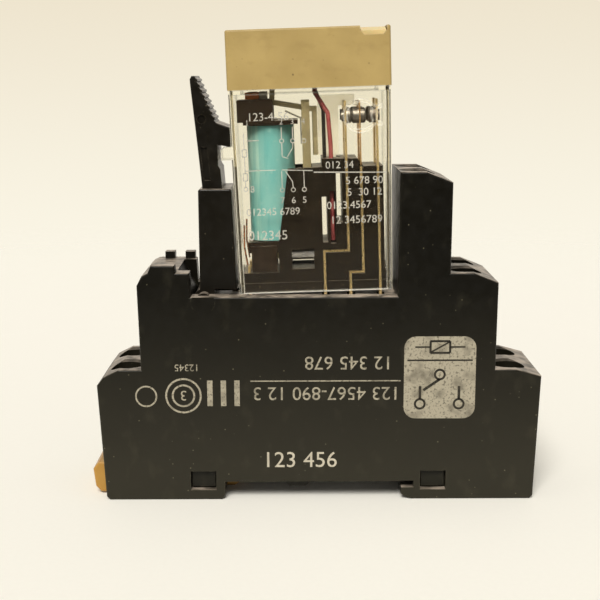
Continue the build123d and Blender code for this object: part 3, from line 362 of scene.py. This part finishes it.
def socket_base_plastic():
    return moulded_plastic("socket_base_plastic", (0.010, 0.009, 0.005), (0.13, 0.115, 0.075), 0.5,
                           settled_and_sheen=0.3, Specular_IOR_Level=0.24)


def lever_plastic():
    return moulded_plastic("lever_plastic", (0.0065, 0.0052, 0.003), (0.12, 0.10, 0.07), 0.34, wear=0.5,
                           settled_and_sheen=0.6, Specular_IOR_Level=0.28)


def clip_plastic():
    return moulded_plastic("clip_plastic", (0.38, 0.20, 0.032), (0.5, 0.32, 0.09), 0.4, wear=0.2,
                           Subsurface_Weight=0.08, Subsurface_Scale=0.001)


def cap_plastic():
    """Beige cover: small dark flecks, faint grime, a paler rim that is a painted highlight along the edges, and
    sink marks.
    """
    skin = Skin("cap_plastic", Specular_IOR_Level=0.4)
    cloud = skin.noise(7 * MM, 5)
    base = skin.mix(skin.ramp(cloud, 0.3, 0.72), (0.37, 0.262, 0.092), (0.45, 0.325, 0.12))
    grime = skin.ramp(skin.noise(2.2 * MM, 6, (1, 1, 1.6), 4.0), 0.56, 0.85, 0.0, 0.35)
    base = skin.mix(grime, base, (0.26, 0.17, 0.058))
    base = skin.mix(skin.times(skin.specks(0.9 * MM, 0.035), 0.75), base, (0.13, 0.085, 0.035))
    base = skin.mix(skin.times(skin.specks(0.4 * MM, 0.02), 0.6), base, (0.20, 0.12, 0.05))
    # Edges are painted paler: a painted highlight where the rounded rim catches the light.
    skin.colour(skin.mix(skin.times(skin.edges(0.3 * MM), 0.45), base, (0.55, 0.44, 0.24)))
    skin.rough(skin.ramp(skin.noise(1.5 * MM, 4, seed=8.0), *CLOUD, 0.40, 0.56))
    skin.bump(skin.noise(0.25 * MM, 2), 0.012 * MM, 0.3)
    skin.bump(skin.noise(8 * MM, 1, seed=6.0), 0.05 * MM, 0.2)
    return skin.material


def button_plastic():
    return moulded_plastic("button_plastic", (0.74, 0.58, 0.27), (0.9, 0.8, 0.5), 0.42, dots=0.01,
                           Subsurface_Weight=0.1, Subsurface_Scale=0.001)


def card_plastic():
    """Natural milky moulding that lets light through."""
    skin = Skin("card_plastic", Transmission_Weight=0.85, IOR=1.15)
    cloud = skin.noise(2 * MM, 4)
    skin.colour(skin.mix(skin.ramp(cloud, *CLOUD), (0.95, 0.91, 0.80), (0.99, 0.96, 0.89)))
    skin.rough(skin.ramp(skin.noise(0.8 * MM, 3, seed=2.0), *CLOUD, 0.42, 0.58))
    skin.bump(skin.noise(0.3 * MM, 2), 0.01 * MM, 0.3)
    through_glass(skin)
    return skin.material


def base_plastic():
    return moulded_plastic("base_plastic", (0.0085, 0.0055, 0.0024), (0.10, 0.075, 0.045), 0.38, dots=0.035,
                           settled_and_sheen=0.3, Specular_IOR_Level=0.26)


def bobbin_plastic():
    return moulded_plastic("bobbin_plastic", (0.016, 0.0095, 0.0045), (0.12, 0.07, 0.04), 0.36, dots=0.03,
                           settled_and_sheen=0.3, Specular_IOR_Level=0.28)


def through_glass(skin):
    """Lets lamps through a clear surface, so that what is inside is lit."""
    path = skin.add("ShaderNodeLightPath")
    clear = skin.add("ShaderNodeBsdfTransparent")
    pick = skin.add("ShaderNodeMixShader")
    skin.link(path.outputs["Is Shadow Ray"], pick.inputs[0])
    skin.link(skin.surface.outputs["BSDF"], pick.inputs[1])
    skin.link(clear.outputs[0], pick.inputs[2])
    skin.link(pick.outputs[0], skin.output.inputs["Surface"])


def case_clear():
    """Clear cover yellowed by age, with hairline scratches, a few greasy smears and edges painted as bright cream
    lines.
    """
    skin = Skin("case_clear", Transmission_Weight=1.0, IOR=1.5)
    skin.colour((0.99, 0.97, 0.90))
    # Edges are made less clear so they show as bright cream lines: painted highlight for the backdrop seen through
    # the walls edge-on.
    painted_rim_highlight = skin.times(skin.edges(0.45 * MM), CASE_RIM_HIGHLIGHT)
    skin.link(skin.math("SUBTRACT", 1.0, painted_rim_highlight), skin.surface.inputs["Transmission Weight"])
    smears = skin.ramp(skin.noise(5 * MM, 5, (1, 1, 0.6), 2.0), 0.5, 0.75, 0.0, 0.06)
    skin.rough(skin.plus(smears, skin.ramp(skin.noise(0.7 * MM, 3, seed=4.0), *CLOUD, 0.01, 0.03)))
    skin.bump(skin.noise(2.4 * MM, 2, (1, 1, 0.5)), 0.02 * MM, 0.06)
    skin.bump(skin.noise(0.18 * MM, 2, (6, 6, 0.25), 7.0), 0.004 * MM, 0.05)
    yellowing = skin.add("ShaderNodeVolumeAbsorption")
    yellowing.inputs["Color"].default_value = (1.0, 0.95, 0.78, 1)
    yellowing.inputs["Density"].default_value = CASE_YELLOWING
    skin.link(yellowing.outputs[0], skin.output.inputs["Volume"])
    through_glass(skin)
    return skin.material


def lens_amber():
    skin = Skin("lens_amber", Transmission_Weight=0.85, IOR=1.45)
    skin.colour(skin.mix(skin.ramp(skin.noise(0.8 * MM), *CLOUD), (0.80, 0.30, 0.05), (0.95, 0.46, 0.12)))
    skin.rough(skin.ramp(skin.noise(0.5 * MM, seed=2.0), *CLOUD, 0.08, 0.2))
    skin.bump(skin.noise(0.3 * MM), 0.01 * MM, 0.2)
    return skin.material


def led_epoxy():
    skin = Skin("led_epoxy", Transmission_Weight=0.5, IOR=1.5)
    skin.colour(skin.mix(skin.ramp(skin.noise(0.6 * MM), *CLOUD), (0.60, 0.05, 0.03), (0.80, 0.12, 0.06)))
    skin.rough(skin.ramp(skin.noise(0.4 * MM, seed=2.0), *CLOUD, 0.05, 0.15))
    return skin.material


def board_laminate():
    """Green laminate with a woven glass pattern and copper tracks under the lacquer."""
    skin = Skin("board_laminate", Coat_Weight=0.5, Coat_Roughness=0.2)
    weave = skin.noise(0.25 * MM, 1, (1, 6, 1))
    green = skin.mix(skin.ramp(weave, 0.4, 0.6), (0.035, 0.15, 0.05), (0.06, 0.24, 0.08))
    track = skin.ramp(skin.noise(2.6 * MM, 0, (1, 2.5, 1), 3.0), 0.52, 0.53)
    skin.colour(skin.mix(track, green, (0.12, 0.36, 0.10)))
    skin.rough(skin.ramp(weave, *CLOUD, 0.3, 0.42))
    skin.bump(track, 0.03 * MM, 0.4)
    return skin.material


# place along the resistor in mm, and colour
RESISTOR_BANDS = (
    (-1.2, (0.35, 0.04, 0.02)),
    (-0.5, (0.06, 0.03, 0.02)),
    (0.2, (0.5, 0.16, 0.02)),
    (1.2, (0.5, 0.38, 0.1)),
)


def resistor_body():
    """Tan lacquer with colour bands along its length."""
    skin = Skin("resistor_body", Coat_Weight=0.3, Coat_Roughness=0.15)
    place = skin.add("ShaderNodeSeparateXYZ")
    skin.link(skin.place, place.inputs[0])
    base = skin.mix(skin.ramp(skin.noise(0.6 * MM), *CLOUD), (0.48, 0.34, 0.18), (0.60, 0.45, 0.26))
    middle = sum(reach("led_resistor", Vector((1, 0, 0)))) / 2
    for offset, band in RESISTOR_BANDS:
        near = skin.math("ABSOLUTE", skin.plus(place.outputs["X"], -(middle + offset * MM)), 0.0)
        base = skin.mix(skin.ramp(near, 0.2 * MM, 0.15 * MM), base, band)
    skin.colour(base)
    skin.rough(skin.ramp(skin.noise(0.4 * MM, seed=2.0), *CLOUD, 0.25, 0.4))
    return skin.material


def coil_tape():
    """Turquoise film wound round the coil: overlapping turns, wrinkles, a satin gloss and painted shade on its
    right side.
    """
    skin = Skin("coil_tape", Coat_Weight=0.35, Coat_Roughness=0.18, Specular_IOR_Level=0.5)
    cloud = skin.ramp(skin.noise(3.5 * MM, 4, (1, 1, 0.35)), 0.3, 0.72)
    film = skin.mix(cloud, (0.145, 0.40, 0.38), (0.34, 0.52, 0.46))
    seam = skin.noise(2.2 * MM, 1, (2.2, 2.2, 0.12), 3.0)
    film = skin.mix(skin.ramp(seam, 0.56, 0.58, 0.0, 0.35), film, (0.085, 0.30, 0.30))
    # Right of a line across the relay the tape is darker: painted shade on the coil's right side, beside the card.
    across = skin.add("ShaderNodeVectorMath")
    across.operation = "DOT_PRODUCT"
    skin.link(skin.place, across.inputs[0])
    across.inputs[1].default_value = RELAY_RIGHT
    painted_shade = skin.ramp(across.outputs["Value"], TAPE_SHADE_X, TAPE_SHADE_X + 0.2 * MM, 0.0, 0.55)
    film = skin.mix(painted_shade, film, (0.095, 0.33, 0.34))
    low = skin.ramp(skin.noise(1.0 * MM, 3, seed=9.0), 0.62, 0.8, 0.0, 0.4)
    skin.colour(skin.mix(low, film, (0.44, 0.54, 0.48)))
    skin.rough(skin.ramp(skin.noise(1.2 * MM, 4, seed=5.0), *CLOUD, 0.3, 0.5))
    skin.bump(seam, 0.05 * MM, 0.25)
    skin.bump(skin.noise(0.9 * MM, 3, (1, 1, 0.4)), 0.03 * MM, 0.3)
    return skin.material


def winding_copper():
    """Enamelled wire laid turn beside turn."""
    skin = Skin("winding_copper", Coat_Weight=0.6, Coat_Roughness=0.12, Metallic=0.7)
    turns = skin.add("ShaderNodeTexWave")
    turns.bands_direction = "Z"
    turns.inputs["Scale"].default_value = 1 / (0.35 * MM)
    turns.inputs["Distortion"].default_value = 0.4
    skin.link(skin.place, turns.inputs["Vector"])
    shade = skin.ramp(turns.outputs["Fac"], 0.1, 0.9)
    skin.colour(skin.mix(shade, (0.10, 0.035, 0.014), (0.36, 0.15, 0.06)))
    skin.rough(skin.ramp(skin.noise(0.6 * MM), *CLOUD, 0.22, 0.38))
    skin.bump(turns.outputs["Fac"], 0.04 * MM, 0.7)
    return skin.material


def metal(name, colour, tarnish, roughness, spots=0.35):
    """Plated or drawn metal with fine brushing, cloudy tarnish and bright worn edges."""
    skin = Skin(name, Metallic=0.8)
    cloud = skin.ramp(skin.noise(2.6 * MM, 5), 0.4, 0.75, 0.0, 1.0)
    base = skin.mix(skin.times(cloud, spots), colour, tarnish)
    base = skin.mix(skin.times(skin.specks(0.35 * MM, 0.05), 0.6), base, scaled(tarnish, 0.6))
    skin.colour(skin.mix(skin.times(skin.edges(0.1 * MM), 0.4), base, scaled(colour, 1.15)))
    grain = skin.noise(0.12 * MM, 3, BRUSHED)
    sheen = skin.ramp(grain, *CLOUD, roughness - 0.07, roughness + 0.07)
    skin.rough(skin.plus(sheen, skin.times(cloud, 0.12)))
    skin.bump(grain, 0.006 * MM, 0.4)
    return skin.material


def screw_steel():
    return metal("screw_steel", (0.60, 0.58, 0.52), (0.30, 0.25, 0.17), 0.32)


def washer_steel():
    return metal("washer_steel", (0.56, 0.54, 0.49), (0.30, 0.26, 0.18), 0.38)


def socket_brass():
    return metal("socket_brass", (0.68, 0.58, 0.38), (0.34, 0.22, 0.09), 0.36)


def core_iron():
    return metal("core_iron", (0.42, 0.39, 0.33), (0.22, 0.15, 0.08), 0.42)


def shading_copper():
    return metal("shading_copper", (0.62, 0.20, 0.075), (0.34, 0.10, 0.035), 0.34)


def yoke_steel():
    return metal("yoke_steel", (0.50, 0.43, 0.25), (0.26, 0.20, 0.09), 0.36)


def armature_steel():
    return metal("armature_steel", (0.52, 0.45, 0.27), (0.28, 0.21, 0.10), 0.36)


def spring_steel():
    return metal("spring_steel", (0.60, 0.57, 0.48), (0.32, 0.26, 0.15), 0.28)


def spring_bronze():
    return metal("spring_bronze", (0.78, 0.50, 0.22), (0.46, 0.22, 0.07), 0.26)


def contact_silver():
    return metal("contact_silver", (0.20, 0.185, 0.16), (0.07, 0.05, 0.04), 0.42, spots=0.8)


def relay_brass():
    return metal("relay_brass", (0.78, 0.60, 0.30), (0.42, 0.27, 0.10), 0.28)


def insulated_wire(name, colour, shade):
    """Thin insulation: satin gloss with slight mottling and handling marks."""
    skin = Skin(name, Coat_Weight=0.25, Coat_Roughness=0.2)
    skin.colour(skin.mix(skin.ramp(skin.noise(1.2 * MM, 4), *CLOUD), colour, shade))
    skin.rough(skin.ramp(skin.noise(0.5 * MM, seed=2.0), *CLOUD, 0.3, 0.45))
    skin.bump(skin.noise(0.4 * MM, 2), 0.02 * MM, 0.25)
    return skin.material


def wire_red():
    return insulated_wire("wire_red", (0.20, 0.028, 0.032), (0.33, 0.09, 0.085))


def wire_black():
    return insulated_wire("wire_black", (0.012, 0.010, 0.009), (0.03, 0.024, 0.02))


def printed_ink(name, colour, worn, wear):
    """Pad-printed ink: chalky, mottled and rubbed thin so that the ground shows."""
    skin = Skin(name, Specular_IOR_Level=0.3)
    rub = skin.ramp(skin.noise(0.45 * MM, 6), 0.52, 0.64, 0.0, wear)
    scuff = skin.ramp(skin.noise(2.6 * MM, 4, seed=3.0), 0.5, 0.75, 0.0, wear)
    skin.colour(skin.mix(skin.math("MAXIMUM", rub, scuff), colour, worn))
    skin.rough(skin.ramp(skin.noise(0.3 * MM, 2, seed=2.0), *CLOUD, 0.5, 0.7))
    skin.bump(skin.noise(0.12 * MM, 2), 0.004 * MM, 0.4)
    return skin.material


def floor_paper():
    """Warm paper that fades into the sky at its rim, and is darker far in front where gloss sees it."""
    skin = Skin("floor_paper", Specular_IOR_Level=0.15)
    fibre = skin.noise(0.9 * MM, 4)
    paper = skin.mix(skin.ramp(fibre, *CLOUD), scaled(FLOOR_COLOUR, 0.985), FLOOR_COLOUR)
    place = skin.add("ShaderNodeSeparateXYZ")
    skin.link(skin.place, place.inputs[0])
    path = skin.add("ShaderNodeLightPath")
    far = skin.ramp(place.outputs["Y"], GLOSS_FLOOR_NEAR, GLOSS_FLOOR_FAR)
    mirrored = skin.math("MAXIMUM", path.outputs["Is Glossy Ray"], path.outputs["Is Transmission Ray"])
    skin.colour(skin.mix(skin.times(far, mirrored), paper, scaled(FLOOR_COLOUR, 0.1)))
    skin.rough(skin.ramp(fibre, *CLOUD, 0.6, 0.75))
    skin.bump(skin.noise(0.35 * MM, 3), 0.01 * MM, 0.2)
    distance = skin.add("ShaderNodeVectorMath")
    distance.operation = "LENGTH"
    skin.link(skin.place, distance.inputs[0])
    fade = skin.ramp(distance.outputs["Value"], FLOOR_FADE_START, FLOOR_FADE_END)
    clear = skin.add("ShaderNodeBsdfTransparent")
    blend = skin.add("ShaderNodeMixShader")
    skin.link(fade, blend.inputs[0])
    skin.link(skin.surface.outputs["BSDF"], blend.inputs[1])
    skin.link(clear.outputs[0], blend.inputs[2])
    skin.link(blend.outputs[0], skin.output.inputs["Surface"])
    return skin.material


MATERIALS = [socket_plastic, socket_base_plastic, lever_plastic, clip_plastic, screw_steel, washer_steel,
             socket_brass, case_clear, cap_plastic, button_plastic, lens_amber, led_epoxy, board_laminate,
             resistor_body, base_plastic, bobbin_plastic, winding_copper, coil_tape, core_iron,
             shading_copper, yoke_steel, armature_steel, spring_steel, card_plastic, contact_silver,
             wire_red, wire_black, spring_bronze, relay_brass]


def dress_cad_nodes():
    """Gives each CAD node the material of its slot in the record."""
    made = {maker.__name__: maker() for maker in MATERIALS}
    for part in frame["record"]["subparts"]:
        materials = NODES[part["node"]].data.materials
        materials.clear()
        materials.append(made[part["material_slot"]])


# ---- printed marks -------------------------------------------------------------------------
# Marks are laid out in millimetres on a flat face, as (right, up), and then placed on the part.
ARC_STEPS = 32
CORNER_STEPS = 8
# height of a figure as a share of the font's size
DIGIT_SHARE = 0.7
FINE_LINE = 0.16
END_RING = 0.36
END_STEP = 2.0
END_GAP = 0.4


def stroke(points, width):
    """Outline of a flat line through points, one polygon for each run."""
    shapes = []
    for (xa, ya), (xb, yb) in zip(points, points[1:]):
        length = math.hypot(xb - xa, yb - ya)
        nx, ny = (ya - yb) / length * width / 2, (xb - xa) / length * width / 2
        shapes.append([(xa + nx, ya + ny), (xa - nx, ya - ny), (xb - nx, yb - ny), (xb + nx, yb + ny)])
    return shapes


def ring(x, y, radius, width):
    """Flat ring as quads."""
    shapes = []
    inner, outer = radius - width / 2, radius + width / 2
    angles = [math.tau * step / ARC_STEPS for step in range(ARC_STEPS + 1)]
    for a, b in zip(angles, angles[1:]):
        shapes.append([(x + inner * math.cos(a), y + inner * math.sin(a)),
                       (x + outer * math.cos(a), y + outer * math.sin(a)),
                       (x + outer * math.cos(b), y + outer * math.sin(b)),
                       (x + inner * math.cos(b), y + inner * math.sin(b))])
    return shapes


def box_line(x, y, width, height, line):
    """Outline of a rectangle centred on x, y."""
    w, h = width / 2, height / 2
    corners = [(x - w, y - h), (x + w, y - h), (x + w, y + h), (x - w, y + h), (x - w, y - h)]
    return stroke(corners, line)


def plate(x, y, width, height, radius):
    """Filled rectangle with rounded corners."""
    outline = []
    for cx, cy, start in ((1, 1, 0), (-1, 1, 90), (-1, -1, 180), (1, -1, 270)):
        for step in range(CORNER_STEPS + 1):
            angle = math.radians(start + step * 90 / CORNER_STEPS)
            outline.append((x + cx * (width / 2 - radius) + radius * math.cos(angle),
                            y + cy * (height / 2 - radius) + radius * math.sin(angle)))
    return [outline]


def digits(text, x, y, height, upside_down=False):
    """Plain numbers centred on x, y, as triangles and quads."""
    curve = bpy.data.curves.new("digits", "FONT")
    curve.body = text
    curve.size = height / DIGIT_SHARE
    curve.align_x = "CENTER"
    curve.resolution_u = 4
    holder = bpy.data.objects.new("digits", curve)
    bpy.context.scene.collection.objects.link(holder)
    bpy.context.view_layer.update()
    mesh = bpy.data.meshes.new_from_object(holder)
    turn = -1 if upside_down else 1
    flat = [(x + turn * v.co.x, y + turn * (v.co.y - height / 2)) for v in mesh.vertices]
    shapes = [[flat[index] for index in face.vertices] for face in mesh.polygons]
    bpy.data.objects.remove(holder)
    bpy.data.curves.remove(curve)
    bpy.data.meshes.remove(mesh)
    return shapes


def print_piece(name, body, shapes, place, material):
    """One printed piece: thin closed plates on a face whose outward side is -Y."""
    mesh = bpy.data.meshes.new(name)
    build = bmesh.new()
    for outline in shapes:
        low = [build.verts.new((x * MM, 0, y * MM)) for x, y in outline]
        high = [build.verts.new((x * MM, -PRINT_THICKNESS, y * MM)) for x, y in outline]
        build.faces.new(low)
        build.faces.new(list(reversed(high)))
        for index in range(len(outline)):
            after = (index + 1) % len(outline)
            build.faces.new((low[index], high[index], high[after], low[after]))
    bmesh.ops.recalc_face_normals(build, faces=build.faces)
    build.to_mesh(mesh)
    build.free()
    mesh.materials.append(material)
    piece = bpy.data.objects.new(name, mesh)
    bpy.context.scene.collection.objects.link(piece)
    piece.matrix_world = place
    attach(piece, body)


def changeover(x, y):
    """Contact symbol: two fixed contacts, an arm and three ringed ends."""
    left, right = x - END_STEP, x + END_STEP
    low, high = y + END_GAP, y + 3.4
    shapes = []
    for end_x in (left, x, right):
        shapes += ring(end_x, y, END_RING, FINE_LINE)
    shapes += stroke([(left, low), (left, high)], FINE_LINE)
    shapes += stroke([(right, low), (right, high)], FINE_LINE)
    return shapes + stroke([(x, low), (x - 0.1, y + 1.5), (left + 0.7, high)], FINE_LINE)


def coil_branch(x, top, bottom):
    """Coil symbol: a vertical line broken by two small boxes, with a ring at its end."""
    upper, lower = top - 3.6, bottom + 2.2
    width, height = 0.75, 1.3
    shapes = box_line(x, upper, width, height, FINE_LINE) + box_line(x, lower, width, height, FINE_LINE)
    shapes += stroke([(x, top), (x, upper + height / 2)], FINE_LINE)
    shapes += stroke([(x, upper - height / 2), (x, lower + height / 2)], FINE_LINE)
    shapes += stroke([(x, lower - height / 2), (x, bottom + END_GAP)], FINE_LINE)
    return shapes + ring(x, bottom, END_RING, FINE_LINE)


# rows of plain numbers: text, middle to the right and up, height, in mm
CASE_NUMBERS = (
    ("123-4-56", -7.6, 32.2, 1.45),
    ("012 34", 5.0, 23.2, 1.3),
    ("5 678 90", 9.4, 20.3, 1.35),
    ("5  30 12", 9.4, 18.2, 1.35),
    ("0123.4567", 6.5, 15.9, 1.35),
    ("12 3456789", 7.8, 13.2, 1.4),
    ("012345 6789", -7.3, 15.1, 1.3),
    ("012345", -8.4, 10.8, 1.7),
)
DIAGRAM_LINES = (
    ((-12.1, 22.6), (-6.6, 22.6)),
    ((-5.5, 22.6), (0.1, 22.3)),
    ((-5.3, 27.4), (-5.3, 25.0), (-4.2, 24.6)),
    ((-3.3, 27.35), (-3.4, 26.4), (-4.4, 24.9)),
    ((-5.3, 28.2), (-5.3, 30.2)),
    ((-3.3, 28.15), (-3.3, 30.2)),
    ((-11.6, 28.0), (-9.4, 28.0)),
)
SOCKET_NUMBERS = (
    ("12 345 678", 6.4, 26.4, 2.5),
    ("123 4567-890 12 3", 2.3, 20.6, 2.5),
    ("12345", -23.4, 25.6, 1.3),
)


BADGE_LINES = (
    (((17.2, 26.9), (29.2, 26.9)), 0.3),
    (((21.6, 28.5), (24.8, 30.3)), 0.3),
    (((18.6, 29.4), (21.4, 29.4)), 0.3),
    (((25.0, 29.4), (27.8, 29.4)), 0.3),
    (((19.6, 19.5), (19.6, 22.0)), 0.5),
    (((26.8, 19.5), (26.8, 22.0)), 0.5),
    (((23.2, 23.3), (20.2, 21.2)), 0.5),
)


def case_marks():
    """Wiring diagram of the relay and its terminal numbers, on the clear cover's front."""
    shapes = coil_branch(-12.1, 29.4, 19.3) + changeover(-3.5, 18.95)
    for x, y in ((-5.3, 27.8), (-3.3, 27.75), (-1.3, 27.7)):
        shapes += ring(x, y, END_RING, FINE_LINE)
    for points in DIAGRAM_LINES:
        shapes += stroke(points, FINE_LINE)
    for text, x in (("7", -5.5), ("6", -3.5), ("5", -1.5)):
        shapes += digits(text, x, 17.1, 1.15)
    for text, x in (("2", -5.3), ("3", -3.3), ("4", -1.3), ("1", -11.4)):
        shapes += digits(text, x, 31.2, 0.95)
    shapes += digits("8", -10.9, 19.3, 1.15)
    shapes += stroke([(0.3, 22.0), (13.5, 21.55)], 0.2)
    for text, x, y, height in CASE_NUMBERS:
        shapes += digits(text, x, y, height)
    return shapes


def socket_marks():
    """Light print on the socket's side: rows of numbers, a rule and plain marks, read upside down."""
    shapes = stroke([(-11.7, 23.05), (16.0, 23.05)], 0.22)
    for text, x, y, height in SOCKET_NUMBERS:
        shapes += digits(text, x, y, height, True)
    shapes += ring(-31.0, 20.2, 1.9, 0.3)
    shapes += ring(-24.1, 20.3, 3.2, 0.35) + ring(-24.1, 20.3, 2.0, 0.35)
    shapes += digits("3", -24.1, 20.3, 1.9, True)
    for x in (-19.2, -16.7, -14.2):
        shapes += stroke([(x, 18.3), (x, 23.2)], 1.0)
    return shapes


def date_marks():
    """Row of plain numbers low on the socket's side."""
    return digits("123 456", -2.6, 7.9, 3.0)


def badge_marks():
    """Dark symbols on the light plate: coil box above, contact arm below."""
    shapes = box_line(23.2, 29.4, 3.6, 2.2, 0.4)
    for x, y in ((19.6, 18.6), (26.8, 18.6), (23.2, 24.2)):
        shapes += ring(x, y, 0.9, 0.4)
    for points, width in BADGE_LINES:
        shapes += stroke(points, width)
    return shapes


def add_prints():
    """The five printed pieces, each on the body that it is printed on."""
    light = printed_ink("socket_ink", (0.36, 0.325, 0.245), (0.05, 0.043, 0.03), 0.7)
    bright = printed_ink("date_ink", (0.52, 0.475, 0.38), (0.2, 0.17, 0.12), 0.4)
    dark = printed_ink("badge_ink", (0.014, 0.012, 0.008), (0.09, 0.075, 0.05), 0.4)
    white = printed_ink("case_ink", (0.52, 0.50, 0.44), (0.22, 0.20, 0.16), 0.7)
    side = Matrix.Translation((0, SOCKET_FRONT_Y - PRINT_LIFT, 0))
    above = Matrix.Translation((0, SOCKET_FRONT_Y - PRINT_LIFT * 2, 0))
    cover = RELAY_PLACE @ Matrix.Translation((0, CASE_FRONT_Y - PRINT_LIFT, 0))
    print_piece("socket_print", "socket", socket_marks(), side, light)
    print_piece("socket_number_print", "socket", date_marks(), side, bright)
    print_piece("socket_badge", "socket", plate(23.2, 23.6, 13.2, 15.6, 2.2), side, light)
    print_piece("socket_badge_symbols", "socket", badge_marks(), above, dark)
    print_piece("case_print", "relay", case_marks(), cover, white)


# ---- the scene -----------------------------------------------------------------------------
bpy.context.scene.view_settings.view_transform = "Standard"
make_camera()
make_sky()
make_lamp()
make_floor(floor_paper())
dress_cad_nodes()
add_prints()
